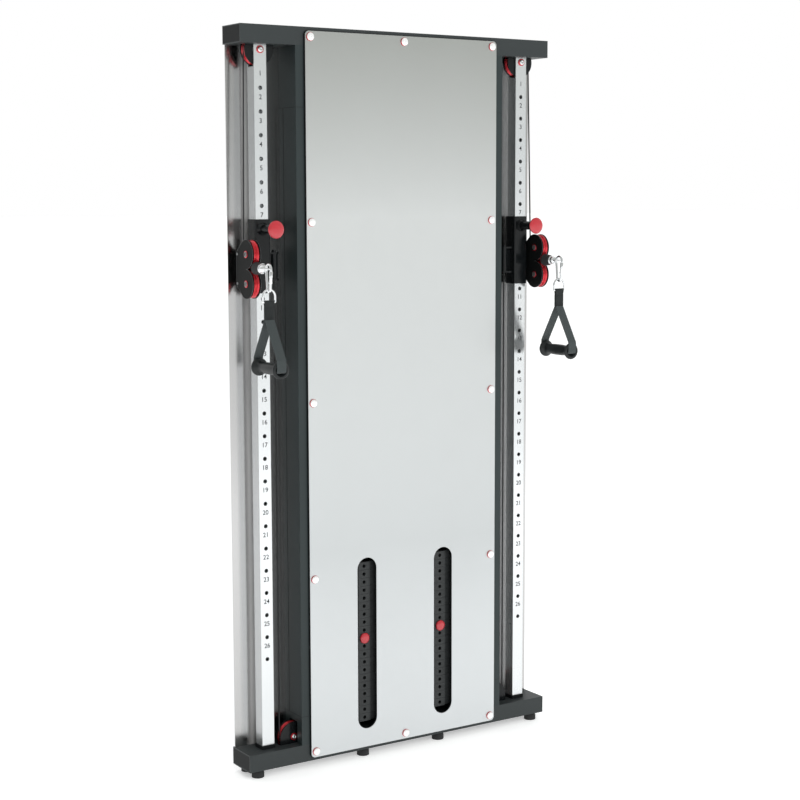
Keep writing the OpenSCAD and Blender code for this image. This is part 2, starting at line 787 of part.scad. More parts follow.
// Outer run of cable, from the block's upper pulley to the top pulley
module outer_cable(side) {
    low = [block_x, block_y + block_r, upper_z + seat_gap];
    high = [column_x + top_r, plane_y, top_axle_z - seat_gap];
    color(black) place(side) hull() {
        translate(low) cylinder(0.1, d = cable_d, $fn = 16);
        translate(high - [0, 0, 0.1]) cylinder(0.1, d = cable_d, $fn = 16);
    }
}

// Tube for the cable's end on the sleeve's inner side, held by two end plates and a web
module anchor() {
    translate([anchor_x, plane_y, anchor_z]) {
        cylinder(anchor_h, d = anchor_d);
        for (z = [0, anchor_h - anchor_t]) translate([0, 0, z]) linear_extrude(anchor_t) {
            circle(d = anchor_w);
            translate([0, -anchor_w / 2]) square([sleeve_inner_x + step - anchor_x, anchor_w]);
        }
        translate([0, -anchor_t / 2, 0]) cube([sleeve_inner_x + step - anchor_x, anchor_t, anchor_h]);
    }
}
// Sleeve on the column with its cable anchor, the bridge to the block and the pop pin's barrel
module carriage(side) {
    barrel_len = plane_y - sleeve_w / 2 + barrel_front;
    bore = sleeve_w - 2 * sleeve_t;
    color(black) place(side) difference() {
        union() {
            translate([column_x, plane_y, sleeve_z])
                linear_extrude(sleeve_h) rounded_rect(sleeve_w, sleeve_w, sleeve_r);
            along_y(column_x, -barrel_front, pin_z) cylinder(barrel_len + 2, d = barrel_d);
            along_y(column_x, barrel_len - barrel_front - barrel_foot_t, pin_z)
                cylinder(barrel_foot_t, d1 = barrel_d, d2 = barrel_foot_d);
            anchor();
            block_between([sleeve_outer_x - step, bridge_back - bridge_d, block_z - bridge_low],
                [block_x - block_w / 2, bridge_back, block_z + bridge_high]);
        }
        translate([column_x - bore / 2, plane_y - bore / 2, sleeve_z - 1]) cube([bore, bore, sleeve_h + 2]);
        along_y(column_x, -barrel_front - 1, pin_z)
            cylinder(barrel_len + sleeve_t + 3, d = pop_pin_d + 2 * axle_slip);
        translate([anchor_x, plane_y, anchor_z - 1]) cylinder(anchor_h + 2, d = cable_d + 3);
    }
    // Swaged end of the inner cable, held in the anchor
    color(chrome) place(side) {
        translate([anchor_x, plane_y, anchor_z]) cylinder(anchor_h, d = cable_d + 2.9);
        translate([anchor_x, plane_y, anchor_z + anchor_h]) cylinder(6, d = 14, $fn = 6);
    }
}
// Spring pin with its knob, drawn back clear of the column
module pop_pin(side) {
    neck_y = -barrel_front - seat_gap;
    rim_back = pop_dome_t + pop_rim_t - pop_knob_front;
    ring_t = 3;
    tip_y = plane_y - column_w / 2 - seat_gap;
    color(red) place(side) {
        along_y(column_x, -pop_knob_front, pin_z)
            cylinder(pop_dome_t, d1 = 0.84 * pop_knob_d, d2 = pop_knob_d);
        along_y(column_x, pop_dome_t - pop_knob_front, pin_z) cylinder(pop_rim_t, d = pop_knob_d);
        along_y(column_x, rim_back, pin_z)
            cylinder(neck_y - pop_travel - ring_t - rim_back, d1 = pop_knob_d - 3, d2 = barrel_d + 2);
    }
    color(chrome) place(side) {
        along_y(column_x, neck_y - pop_travel - ring_t, pin_z) cylinder(ring_t, d = barrel_d + 3);
        along_y(column_x, rim_back, pin_z) cylinder(tip_y - rim_back, d = pop_pin_d);
    }
}
// Outline of a block plate: two round lobes joined to a straight rear edge, as depth and height
module block_outline() {
    gap = block_rear - block_y;
    half = block_rear_h / 2;
    reach = sqrt(pow(gap, 2) + pow(half - block_span / 2, 2));
    lean = acos(lobe_r / reach) + atan2(half - block_span / 2, gap);
    tangent = [lobe_r * cos(lean), block_span / 2 + lobe_r * sin(lean)];
    for (s = [-1, 1]) translate([0, s * block_span / 2]) circle(lobe_r);
    polygon([[0, block_span / 2], tangent, [gap, half], [gap, -half],
        [tangent[0], -tangent[1]], [0, -block_span / 2]]);
}
module block_plate(x) {
    difference() {
        translate([x, block_y, block_z]) rotate([90, 0, 90]) linear_extrude(block_t) block_outline();
        for (z = [upper_z, lower_z]) along_x(x - 1, block_y, z) cylinder(block_t + 2, r = axle_hole_r);
        for (z = screw_heights) along_x(x - 1, screw_y, z) cylinder(block_t + 2, r = screw_r + axle_slip);
    }
}
module block(side) {
    color(black) place(side) {
        block_plate(block_x - block_w / 2);
        block_plate(block_x + block_w / 2 - block_t);
        // Rear spacer that the plates are screwed to
        difference() {
            block_between(
                [block_x - block_w / 2 + block_t, bridge_back - spacer_d, block_z - block_rear_h / 2 + step],
                [block_x + block_w / 2 - block_t, bridge_back, block_z + block_rear_h / 2 - step]);
            for (z = screw_heights) along_x(block_x - block_w, screw_y, z)
                cylinder(2 * block_w, r = screw_r + axle_slip);
        }
    }
}
// Axle along X with a round head at each end
module cross_bolt(y, z, r, head_r, head_t) {
    along_x(block_x - block_w / 2, y, z) cylinder(block_w, r = r);
    along_x(block_x + block_w / 2, y, z) cylinder(head_t, r1 = head_r, r2 = head_r - 1);
    along_x(block_x - block_w / 2 - head_t, y, z) cylinder(head_t, r1 = head_r - 1, r2 = head_r);
}
module block_bolts(side) {
    color(chrome) place(side) {
        for (z = [upper_z, lower_z]) cross_bolt(block_y, z, axle_r, block_head_r, block_head_t);
        for (z = screw_heights) {
            along_x(block_x - block_w / 2, screw_y, z) cylinder(block_w, r = screw_r);
            along_x(block_x + block_w / 2, screw_y, z)
                cylinder(block_head_t / 2, r1 = 1.8 * screw_r, r2 = 1.5 * screw_r);
        }
    }
}
// End of the cable in the block, its rubber stop and the chrome ball with its eye
module cable_stop(side) {
    cone_back = block_y - lobe_r + block_t;
    cone_tip = cone_back + stop_d1 / 2 - cable_d;
    color(black) place(side) {
        translate([block_x, block_y, upper_z]) rotate([90, 0, 90]) rotate([0, 0, -90])
            rotate_extrude(angle = 90) translate([block_r, 0]) circle(d = cable_d, $fn = 24);
        along_y(block_x, -stop_front, cable_z) cylinder(stop_front + block_y, d = cable_d, $fn = 24);
        along_y(block_x, -stop_front, cable_z) cylinder(cone_back + stop_front, d1 = stop_d2, d2 = stop_d1);
        along_y(block_x, cone_back, cable_z)
            cylinder(cone_tip - cone_back, d1 = stop_d1 - 2, d2 = cable_d + 1);
    }
    color(chrome) place(side) {
        translate([block_x, ball_y, cable_z]) sphere(d = ball_d);
        translate([block_x, hook_y + eye_r, cable_z])
            rotate_extrude() translate([eye_r, 0]) circle(d = eye_bar, $fn = 24);
    }
}
// Closed loop of round bar in the XZ plane, w wide and h tall, with its top at the origin
module bar_loop(w, h, bar) {
    r = (w - bar) / 2;
    drop = h - bar - 2 * r;
    for (z = [-bar / 2 - r, -bar / 2 - r - drop])
        translate([0, 0, z]) rotate([90, 0, 0]) rotate([0, 0, z < -bar / 2 - r ? 180 : 0])
            rotate_extrude(angle = 180) translate([r, 0]) circle(d = bar, $fn = 24);
    for (x = [-r, r]) translate([x, 0, -bar / 2 - r - drop]) cylinder(drop, d = bar, $fn = 24);
}
// D-ring in the XZ plane: a straight bar below and a round bow above, top centre at the origin
module d_loop(w, h, bar) {
    r = (w - bar) / 2;
    legs = h - bar - r;
    translate([0, 0, -bar / 2 - r]) rotate([90, 0, 0])
        rotate_extrude(angle = 180) translate([r, 0]) circle(d = bar, $fn = 24);
    for (x = [-r, r]) translate([x, 0, -bar / 2 - r - legs]) cylinder(legs, d = bar, $fn = 24);
    along_x(-r, 0, -bar / 2 - r - legs) cylinder(2 * r, d = bar, $fn = 24);
    for (x = [-r, r]) translate([x, 0, -bar / 2 - r - legs]) sphere(d = bar, $fn = 24);
}
module carabiner(side) {
    color(chrome) place(side) {
        translate([block_x, hook_y, hook_top]) rotate([0, 0, 90]) bar_loop(hook_w, hook_h, hook_bar);
        translate([block_x, hook_y, ring_top]) d_loop(ring_w, ring_h, ring_bar);
    }
}
// Webbing from the D-ring to the grip: a sewn fold, two legs and the length inside the grip
module strap(side) {
    half_fold = strap_t + ring_bar / 2 + seat_gap;
    fold_low = ring_low - fold_h;
    fold_top = ring_low + ring_bar + seat_gap + strap_t;
    color("#222426") place(side) translate([block_x, hook_y, 0]) {
        difference() {
            block_between([-strap_w / 2, -half_fold, fold_low], [strap_w / 2, half_fold, fold_top]);
            block_between([-strap_w, strap_t - half_fold, ring_low - seat_gap],
                [strap_w, half_fold - strap_t, ring_low + ring_bar + seat_gap]);
        }
        for (s = [-1, 1]) strap_leg(s, fold_low);
        along_y(0, -grip_len / 2 - 2 * seat_gap, grip_z)
            cylinder(grip_len + 4 * seat_gap, d = grip_bore - 2 * slip);
    }
}
// One leg of the webbing, slanting out from the fold and down over the grip's end
module strap_leg(s, fold_low) {
    near = s * 2;
    far = s * (grip_len / 2 + seat_gap);
    knee = grip_z + flange_d / 2 + 2;
    translate([-strap_w / 2, 0, 0]) rotate([90, 0, 90]) linear_extrude(strap_w)
        polygon([[near, fold_low + 1], [near + s * strap_t, fold_low + 1], [far + s * strap_t, knee],
            [far + s * strap_t, grip_z - grip_bore / 2], [far, grip_z - grip_bore / 2], [far, knee]]);
}
// Hollow grip, swollen in the middle, with a rounded flange and a mouth like a cup at each end
module grip(side) {
    half = grip_len / 2;
    edge = flange_t / 3;
    color("#2A2C2E") place(side) along_y(block_x, hook_y, grip_z) rotate_extrude() polygon([
        [grip_bore / 2, 0], [grip_bore / 2, half - mouth_depth], [mouth_d / 2, half],
        [flange_d / 2 - edge, half], [flange_d / 2, half - edge], [flange_d / 2, half - 2 * edge],
        [flange_d / 2 - edge, half - flange_t], [grip_d / 2, half - 2 * flange_t],
        [(grip_d + grip_swell) / 2, half / 3], [(grip_d + grip_swell) / 2, -half / 3],
        [grip_d / 2, 2 * flange_t - half], [flange_d / 2 - edge, flange_t - half],
        [flange_d / 2, 2 * edge - half], [flange_d / 2, edge - half], [flange_d / 2 - edge, -half],
        [mouth_d / 2, -half], [grip_bore / 2, mouth_depth - half]]);
}

base_beam();
top_beam();
end_caps();
feet();
housing();
rear_side_panels();
panel_backing();
mirror_panel();
stud_collars();
stud_caps();
columns();
guide_rods();
rod_bumpers();
lower_plates();
pulley_guards();
axle_bolts();
axle_rings();
fixed_cables();
carriage(LEFT);  // carriage_left
carriage(RIGHT);  // carriage_right
pop_pin(LEFT);  // pop_pin_left
pop_pin(RIGHT);  // pop_pin_right
block(LEFT);  // block_left
block(RIGHT);  // block_right
block_bolts(LEFT);  // block_bolts_left
block_bolts(RIGHT);  // block_bolts_right
block_pulley_upper(LEFT);  // block_pulley_upper_left
block_pulley_upper(RIGHT);  // block_pulley_upper_right
block_pulley_lower(LEFT);  // block_pulley_lower_left
block_pulley_lower(RIGHT);  // block_pulley_lower_right
cable_stop(LEFT);  // cable_stop_left
cable_stop(RIGHT);  // cable_stop_right
carabiner(LEFT);  // carabiner_left
carabiner(RIGHT);  // carabiner_right
strap(LEFT);  // strap_left
strap(RIGHT);  // strap_right
grip(LEFT);  // grip_left
grip(RIGHT);  // grip_right
top_pulley(LEFT);  // top_pulley_left
top_pulley(RIGHT);  // top_pulley_right
bottom_pulley(LEFT);  // bottom_pulley_left
bottom_pulley(RIGHT);  // bottom_pulley_right
beam_pulley(LEFT);  // beam_pulley_left
beam_pulley(RIGHT);  // beam_pulley_right
return_pulley(LEFT);  // return_pulley_left
return_pulley(RIGHT);  // return_pulley_right
float_pulley(LEFT);  // float_pulley_left
float_pulley(RIGHT);  // float_pulley_right
upper_plates(LEFT);  // upper_plates_left
upper_plates(RIGHT);  // upper_plates_right
stem(LEFT);  // stem_left
stem(RIGHT);  // stem_right
selector_pin(LEFT);  // selector_pin_left
selector_pin(RIGHT);  // selector_pin_right
outer_cable(LEFT);  // outer_cable_left
outer_cable(RIGHT);  // outer_cable_right
inner_cable(LEFT);  // inner_cable_left
inner_cable(RIGHT);  // inner_cable_right
lift_cables(LEFT);  // lift_cables_left
lift_cables(RIGHT);  // lift_cables_right
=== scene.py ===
import math

import bmesh
import bpy
from mathutils import Euler, Matrix, Vector


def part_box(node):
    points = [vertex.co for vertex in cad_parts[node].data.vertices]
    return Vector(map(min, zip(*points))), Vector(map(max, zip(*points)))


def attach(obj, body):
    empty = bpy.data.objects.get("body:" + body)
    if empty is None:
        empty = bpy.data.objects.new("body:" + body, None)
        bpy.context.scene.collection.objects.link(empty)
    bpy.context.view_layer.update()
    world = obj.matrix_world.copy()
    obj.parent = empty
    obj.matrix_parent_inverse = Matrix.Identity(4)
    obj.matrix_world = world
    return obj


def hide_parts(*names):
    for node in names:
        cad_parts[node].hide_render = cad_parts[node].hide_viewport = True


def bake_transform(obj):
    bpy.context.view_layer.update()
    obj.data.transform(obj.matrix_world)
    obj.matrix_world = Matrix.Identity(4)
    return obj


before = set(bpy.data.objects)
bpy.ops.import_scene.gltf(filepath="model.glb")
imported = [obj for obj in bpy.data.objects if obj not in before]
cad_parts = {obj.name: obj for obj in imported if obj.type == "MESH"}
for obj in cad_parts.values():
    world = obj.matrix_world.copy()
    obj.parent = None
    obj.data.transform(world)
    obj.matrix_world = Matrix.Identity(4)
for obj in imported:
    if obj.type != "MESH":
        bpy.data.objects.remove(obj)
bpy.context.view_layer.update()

# Camera
# It stands about 5 m in front of the machine's left corner, at eye height, and looks slightly down. Depths in
# this file are counted from the front face of the two beams.
beam_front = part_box("base_beam")[0].y
camera = bpy.data.objects.new("camera", bpy.data.cameras.new("camera"))
camera.data.sensor_width = 36
camera.data.lens = 75.82
tilt = math.radians(83.044)
roll = math.radians(0.153)
pan = math.radians(-33.011)
stand = Vector((-2.7914, beam_front - 4.2791, 1.7215))
camera.matrix_world = Matrix.Translation(stand) @ Euler((tilt, roll, pan)).to_matrix().to_4x4()
bpy.context.scene.collection.objects.link(camera)
bpy.context.scene.camera = camera
bpy.context.scene.view_settings.view_transform = "Standard"


# Light and floor
# A white studio: a bright wall behind the machine, a greyer room in front of it that the polished steel
# reflects, two large soft boxes, and a pale floor that runs out of sight.
class Wire:
    """A shader socket that arithmetic works on. Each operation adds its Math node."""

    def __init__(self, tree, socket):
        self.tree = tree
        self.socket = socket

    def into(self, socket):
        self.tree.links.new(self.socket, socket)

    def work(self, operation, *values):
        node = self.tree.nodes.new("ShaderNodeMath")
        node.operation = operation
        for socket, value in zip(node.inputs, values):
            give(socket, value)
        return Wire(self.tree, node.outputs[0])

    def __add__(self, other):
        return self.work("ADD", self, other)

    def __radd__(self, other):
        return self.work("ADD", other, self)

    def __sub__(self, other):
        return self.work("SUBTRACT", self, other)

    def __rsub__(self, other):
        return self.work("SUBTRACT", other, self)

    def __mul__(self, other):
        return self.work("MULTIPLY", self, other)

    def __rmul__(self, other):
        return self.work("MULTIPLY", other, self)

    def __truediv__(self, other):
        return self.work("DIVIDE", self, other)


def give(socket, value):
    """Links a wire to a socket, or sets the socket to a plain value."""
    if isinstance(value, Wire):
        value.into(socket)
    else:
        socket.default_value = value


class Finish:
    """A node tree in the making, with the shader that its values go to."""

    def __init__(self, owner, shader):
        owner.use_nodes = True
        self.owner = owner
        self.tree = owner.node_tree
        self.shader = self.tree.nodes[shader]

    def node(self, kind, settings, sockets, output=0):
        made = self.tree.nodes.new("ShaderNode" + kind)
        for name, value in settings.items():
            if name == "stops":
                for place, (position, colour) in enumerate(value):
                    if place > 1:
                        made.color_ramp.elements.new(position)
                    made.color_ramp.elements[place].position = position
                    made.color_ramp.elements[place].color = colour
            else:
                setattr(made, name, value)
        for name, value in sockets.items():
            give(made.inputs[name], value)
        return Wire(self.tree, made.outputs[output])

    def set(self, sockets):
        for name, value in sockets.items():
            give(self.shader.inputs[name], value)

    def mix(self, factor, one, other):
        return self.node("Mix", {"data_type": "RGBA"}, {0: factor, 6: one, 7: other}, 2)


def surface(name):
    """A new material for a piece."""
    return Finish(bpy.data.materials.new(name), "Principled BSDF")


def shade(code):
    """A web colour as linear light."""
    parts = [int(code[place:place + 2], 16) / 255 for place in (1, 3, 5)]
    return tuple(part / 12.92 if part <= 0.04045 else ((part + 0.055) / 1.055) ** 2.4 for part in parts) + (1,)


def coordinate(finish, axis, source="Object"):
    """One axis of the object's own coordinates, in metres."""
    spot = finish.node("TexCoord", {}, {}, source)
    return finish.node("SeparateXYZ", {}, {"Vector": spot}, axis)


def fade(finish, value, start, stop, low=0.0, high=1.0):
    """A smooth change from low to high as the value goes from start to stop."""
    return finish.node("MapRange", {"interpolation_type": "SMOOTHSTEP"},
                       {"Value": value, "From Min": start, "From Max": stop, "To Min": low, "To Max": high})


world = bpy.data.worlds.new("studio")
bpy.context.scene.world = world
room = Finish(world, "Background")
white = (1.0, 1.0, 1.0, 1.0)
depth_light = fade(room, coordinate(room, "Y", "Generated"), -0.55, 0.35)
height_light = fade(room, coordinate(room, "Z", "Generated"), -0.04, 0.10, 1.0, 0.0)
left_light = fade(room, coordinate(room, "X", "Generated"), -0.95, -0.45)
front_room = room.mix(height_light, shade("#C4C6C2"), shade("#EDF1F2"))
open_room = room.mix(depth_light, front_room, white)
surround = room.mix(left_light, shade("#BEC0C0"), open_room)
seen = room.node("LightPath", {}, {}, "Is Camera Ray")
room.set({"Color": room.mix(seen, surround, white), "Strength": 1.0})


def soft_box(name, place, target, width, height, power, colour):
    """A rectangular lamp at a place, turned to a target, that isn't itself mirrored."""
    lamp = bpy.data.lights.new(name, "AREA")
    lamp.shape = "RECTANGLE"
    lamp.size = width
    lamp.size_y = height
    lamp.energy = power
    lamp.color = colour
    holder = bpy.data.objects.new(name, lamp)
    holder.location = place
    holder.rotation_euler = (Vector(target) - Vector(place)).to_track_quat("-Z", "Y").to_euler()
    holder.visible_glossy = False
    bpy.context.scene.collection.objects.link(holder)


soft_box("key_light", (-1.1, -4.9, 3.7), (0, 0, 1.1), 2.4, 2.4, 110, (1.0, 0.99, 0.98))
soft_box("fill_light", (3.4, -4.2, 2.6), (0, 0, 1.0), 2.6, 2.6, 45, (0.97, 0.98, 1.0))

floor_shape = bmesh.new()
bmesh.ops.create_grid(floor_shape, x_segments=1, y_segments=1, size=120)
floor_mesh = bpy.data.meshes.new("floor")
floor_shape.to_mesh(floor_mesh)
floor_shape.free()
floor = bpy.data.objects.new("floor", floor_mesh)
bpy.context.scene.collection.objects.link(floor)
vinyl = surface("pale_floor")
vinyl.set({"Base Color": (0.86, 0.87, 0.875, 1), "Roughness": 0.62, "Specular IOR Level": 0.25,
           "Emission Color": white, "Emission Strength": 0.42})
floor_mesh.materials.append(vinyl.owner)


# Beams
# Two lengths of rectangular steel tube, sawn to length and powder coated in charcoal with a fine satin grain.
# The upper one carries the hangers of the inner pulleys.
def cloud(finish, size, detail=2.0, stretch=(1.0, 1.0, 1.0)):
    """Soft noise with spots of the given size in metres, from 0 to 1."""
    spot = finish.node("TexCoord", {}, {}, "Object")
    laid = finish.node("Mapping", {}, {"Vector": spot, "Scale": stretch})
    return finish.node("TexNoise", {}, {"Vector": laid, "Scale": 1 / size, "Detail": detail}, 0)


def relief(finish, height, depth):
    """A height from 0 to 1 as a surface relief that is depth metres deep."""
    return finish.node("Bump", {}, {"Height": height, "Distance": depth, "Strength": 1.0})


def powder_coat(name, low, high, gloss=0.44, shine=0.3):
    """Baked powder paint with a fine grain and a slow drift in tone."""
    coat = surface(name)
    drift = cloud(coat, 0.35, 3)
    grain = cloud(coat, 0.0009, 1)
    coat.set({"Base Color": coat.mix(0.65 * drift + 0.35 * grain, shade(low), shade(high)),
              "Roughness": gloss - 0.06 * drift + 0.1 * grain,
              "Normal": relief(coat, grain, 0.00004),
              "Specular IOR Level": shine})
    return coat.owner


def dress(name, material, ease=0.0, segments=2):
    """Gives a CAD node its finish, and rounds its sharp edges where ease is over 0."""
    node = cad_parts[name]
    for place in node.material_slots:
        place.material = material
    node.data.shade_smooth()
    weld = node.modifiers.new("weld", "WELD")
    weld.merge_threshold = 0.00001
    flats = node.modifiers.new("flat_faces", "DECIMATE")
    flats.decimate_type = "DISSOLVE"
    flats.angle_limit = math.radians(0.5)
    if ease:
        bevel = node.modifiers.new("eased_edges", "BEVEL")
        bevel.width = ease
        bevel.segments = segments
        bevel.limit_method = "ANGLE"
        bevel.angle_limit = math.radians(32)
        bevel.use_clamp_overlap = True
    split = node.modifiers.new("crisp_edges", "EDGE_SPLIT")
    split.split_angle = math.radians(48)
    split.use_edge_sharp = False
    shading = node.modifiers.new("face_shading", "WEIGHTED_NORMAL")
    shading.weight = 80
    return node


charcoal_coat = powder_coat("charcoal_coat", "#2C3031", "#373C3D")
dress("base_beam", charcoal_coat, 0.0016, 3)
dress("top_beam", charcoal_coat, 0.0016, 3)

# End plugs and column boots
# Moulded black plastic, pushed into the beams' ends and over the columns' feet.
black_plastic = surface("moulded_plastic")
pebble = cloud(black_plastic, 0.0012, 2)
black_plastic.set({"Base Color": black_plastic.mix(pebble, shade("#0F1112"), shade("#181A1B")),
                   "Roughness": 0.5 + 0.12 * pebble, "Specular IOR Level": 0.16,
                   "Normal": relief(black_plastic, pebble, 0.00005)})
dress("end_caps", black_plastic.owner, 0.0009)

# Feet
# Eight black rubber feet, screwed under the base beam.
rubber = surface("foot_rubber")
dust = cloud(rubber, 0.004, 4)
rubber.set({"Base Color": rubber.mix(dust, shade("#1E1F20"), shade("#2B2C2D")),
            "Roughness": 0.72 + 0.15 * dust, "Normal": relief(rubber, dust, 0.0001)})
dress("feet", rubber.owner, 0.0012)

# Housing
# Folded sheet steel round the weight stacks, coated like the beams. Its cover plates at the top and bottom
# meet the long sheet in seams, and two fold lines run up each outer wall, all drawn as thin strips of painted
# shade.
housing_coat = powder_coat("housing_coat", "#252C2D", "#30393A", 0.32)
dress("housing", housing_coat, 0.0008)


def slab(low, high, ease=0.0004):
    """A block between two corners with eased edges."""
    shape = bmesh.new()
    bmesh.ops.create_cube(shape, size=1)
    low, high = Vector(low), Vector(high)
    bmesh.ops.scale(shape, vec=high - low, verts=shape.verts)
    bmesh.ops.translate(shape, vec=(low + high) / 2, verts=shape.verts)
    bmesh.ops.bevel(shape, geom=shape.edges[:], offset=ease, offset_type="OFFSET", segments=2, profile=0.5,
                    affect="EDGES", material=-1, clamp_overlap=True)
    return shape


def gathered(shapes):
    """Several shapes as one."""
    whole = bmesh.new()
    for shape in shapes:
        part = bpy.data.meshes.new("part")
        shape.to_mesh(part)
        shape.free()
        whole.from_mesh(part)
        bpy.data.meshes.remove(part)
    return whole


def handed(shape, side):
    """The shape of the right-hand side, or its mirror image for the left."""
    if side == "left":
        bmesh.ops.scale(shape, vec=(-1, 1, 1), verts=shape.verts)
        bmesh.ops.reverse_faces(shape, faces=shape.faces)
    return shape


def make(name, shape, material, body, stands_for=(), sharp=35):
    """Turns a shape into a piece that rides on a body and stands for CAD nodes."""
    mesh = bpy.data.meshes.new(name)
    shape.to_mesh(mesh)
    shape.free()
    mesh.shade_smooth()
    mesh.set_sharp_from_angle(angle=math.radians(sharp))
    mesh.materials.append(material)
    piece = bpy.data.objects.new(name, mesh)
    bpy.context.scene.collection.objects.link(piece)
    if body:
        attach(piece, body)
    if stands_for:
        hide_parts(*stands_for)
    return piece


seam_heights = (0.163, 1.972)
seam_half = 0.0006
seam_proud = 0.00012
strip_inner_x = 0.3095
fold_lines = ((0.72, 0.0014), (0.99, 0.0009))
housing_low, housing_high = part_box("housing")
# The seam and fold strips are painted shade, a little lighter or darker at random.
painted_seam_shade = surface("seam_shadow")
seam_shade_mottle = cloud(painted_seam_shade, 0.01, 2)
painted_seam_shade.set({"Base Color": painted_seam_shade.mix(seam_shade_mottle, shade("#0B0C0C"), shade("#171818")), "Roughness": 0.8})
seams = []
for edge in (-1, 1):
    wall_low, wall_high = sorted((edge * (housing_high.x - 0.0005), edge * (housing_high.x + seam_proud)))
    strip_low, strip_high = sorted((edge * (housing_high.x - 0.0004), edge * strip_inner_x))
    for height in seam_heights:
        seams.append(slab((wall_low, housing_low.y + 0.0005, height - seam_half),
                          (wall_high, housing_high.y - 0.0005, height + seam_half), 0.00005))
        seams.append(slab((strip_low, housing_low.y - seam_proud, height - seam_half),
                          (strip_high, housing_low.y + 0.0005, height + seam_half), 0.00005))
    for depth, half_width in fold_lines:
        line_y = housing_low.y + depth * (housing_high.y - housing_low.y)
        seams.append(slab((wall_low, line_y - half_width, seam_heights[0]),
                          (wall_high, line_y + half_width, seam_heights[1]), 0.00005))
make("housing_seams", gathered(seams), painted_seam_shade.owner, "frame")

# Rear side panels
# Polished stainless sheet behind each column, between the housing and the beam's end. It mirrors the column
# and the carriage in slightly wavy bands. A strip beside the column is set duller and lighter: a painted
# reflection of the grey of a room that isn't modelled.
polished_sheet = surface("polished_sheet")
sheet_wave = cloud(polished_sheet, 0.12, 1, (1.0, 1.0, 0.12))
sheet_haze = cloud(polished_sheet, 0.5, 3, (1.0, 1.0, 0.3))
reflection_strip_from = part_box("columns")[1].x - 0.02
reflection_strip_to = 0.493
sheet_out = polished_sheet.node("Math", {"operation": "ABSOLUTE"}, {0: coordinate(polished_sheet, "X")})
inner_fade = polished_sheet.node("Math", {"operation": "MULTIPLY_ADD", "use_clamp": True},
                                 {0: sheet_out, 1: 25.0, 2: 0.5 - 25.0 * reflection_strip_from})
outer_fade = polished_sheet.node("Math", {"operation": "MULTIPLY_ADD", "use_clamp": True},
                                 {0: sheet_out, 1: -40.0, 2: 0.5 + 40.0 * reflection_strip_to})
# Painted reflection: inside this strip the sheet is less metallic and its colour lighter.
painted_reflection_strip = inner_fade * outer_fade
polished_sheet.set({"Metallic": 1.0 - 0.68 * painted_reflection_strip,
                    "Base Color": polished_sheet.mix(0.4 * sheet_haze + 0.6 * painted_reflection_strip, shade("#BAB9B9"),
                                                     shade("#DCDBDB")),
                    "Roughness": 0.15 + 0.08 * sheet_haze,
                    "Normal": relief(polished_sheet, sheet_wave, 0.0004)})
dress("rear_side_panels", polished_sheet.owner)

# Backing board and polished front panel
# A black board that shows as a thin edge, under a sheet of satin mirror steel with rounded corners and a slot
# in front of each stack. The steel is slightly cloudy, so that the room shows as soft patches, and its colour
# changes softly over four heights, a painted reflection of a room that isn't modelled.
dress("panel_backing", black_plastic.owner, 0.0008)
mirror_steel = surface("satin_mirror_steel")
patches = cloud(mirror_steel, 0.55, 2, (1.0, 1.0, 0.6))
fine_haze = cloud(mirror_steel, 0.06, 4)
swell = cloud(mirror_steel, 0.7, 1, (1.0, 1.0, 0.5))
machine_height = 2.2
# Painted reflection: the base colour runs through four tones with height, its bands shifted by the patches.
reflection_height = coordinate(mirror_steel, "Z") + 0.16 * patches - 0.08
painted_room_reflection = mirror_steel.node("ValToRGB", {"stops": [(0.0, shade("#DADDDF")), (0.3, shade("#C9CCCD")),
                                                     (0.75, shade("#E6E8E8")), (1.0, shade("#C0C2BF"))]},
                              {"Fac": reflection_height / machine_height}, "Color")
mirror_steel.set({"Metallic": 1.0,
                  "Base Color": mirror_steel.mix(0.12 * fine_haze, painted_room_reflection, shade("#C9CCCC")),
                  "Roughness": 0.3 + 0.12 * patches + 0.03 * fine_haze,
                  "Normal": relief(mirror_steel, swell, 0.0008)})
dress("mirror_panel", mirror_steel.owner, 0.0005)


# Studs of the front panel
# Twelve domed chrome caps, each screwed through a red anodised collar into the frame.
def turned(profile, place, axis, steps=48):
    """Spins a closed profile of (distance along the axis, radius) points round the axis at a place."""
    shape = bmesh.new()
    rim = [shape.verts.new((radius, 0, along)) for along, radius in profile]
    edges = [shape.edges.new(pair) for pair in zip(rim, rim[1:])]
    bmesh.ops.spin(shape, geom=rim + edges, cent=(0, 0, 0), axis=(0, 0, 1), angle=2 * math.pi, steps=steps,
                   use_merge=True)
    bmesh.ops.remove_doubles(shape, verts=shape.verts, dist=0.000001)
    bmesh.ops.recalc_face_normals(shape, faces=shape.faces)
    turn = Vector((0, 0, 1)).rotation_difference(Vector(axis)).to_matrix().to_4x4()
    bmesh.ops.transform(shape, matrix=Matrix.Translation(Vector(place)) @ turn, verts=shape.verts)
    return shape


chrome = surface("bright_chrome")
smear = cloud(chrome, 0.02, 3)
chrome.set({"Metallic": 1.0, "Base Color": chrome.mix(smear, shade("#E6E8EA"), shade("#F4F5F6")),
            "Roughness": 0.06 + 0.08 * smear})


def red_metal(name, low, high, gloss):
    """Red anodised aluminium with fine turning marks under a clear coat."""
    coat = surface(name)
    tint = cloud(coat, 0.015, 2)
    turning = cloud(coat, 0.0008, 1)
    coat.set({"Base Color": coat.mix(tint, shade(low), shade(high)), "Metallic": 0.72,
              "Roughness": gloss + 0.06 * turning, "Normal": relief(coat, turning, 0.00001),
              "Coat Weight": 0.6, "Coat Roughness": 0.08})
    return coat.owner


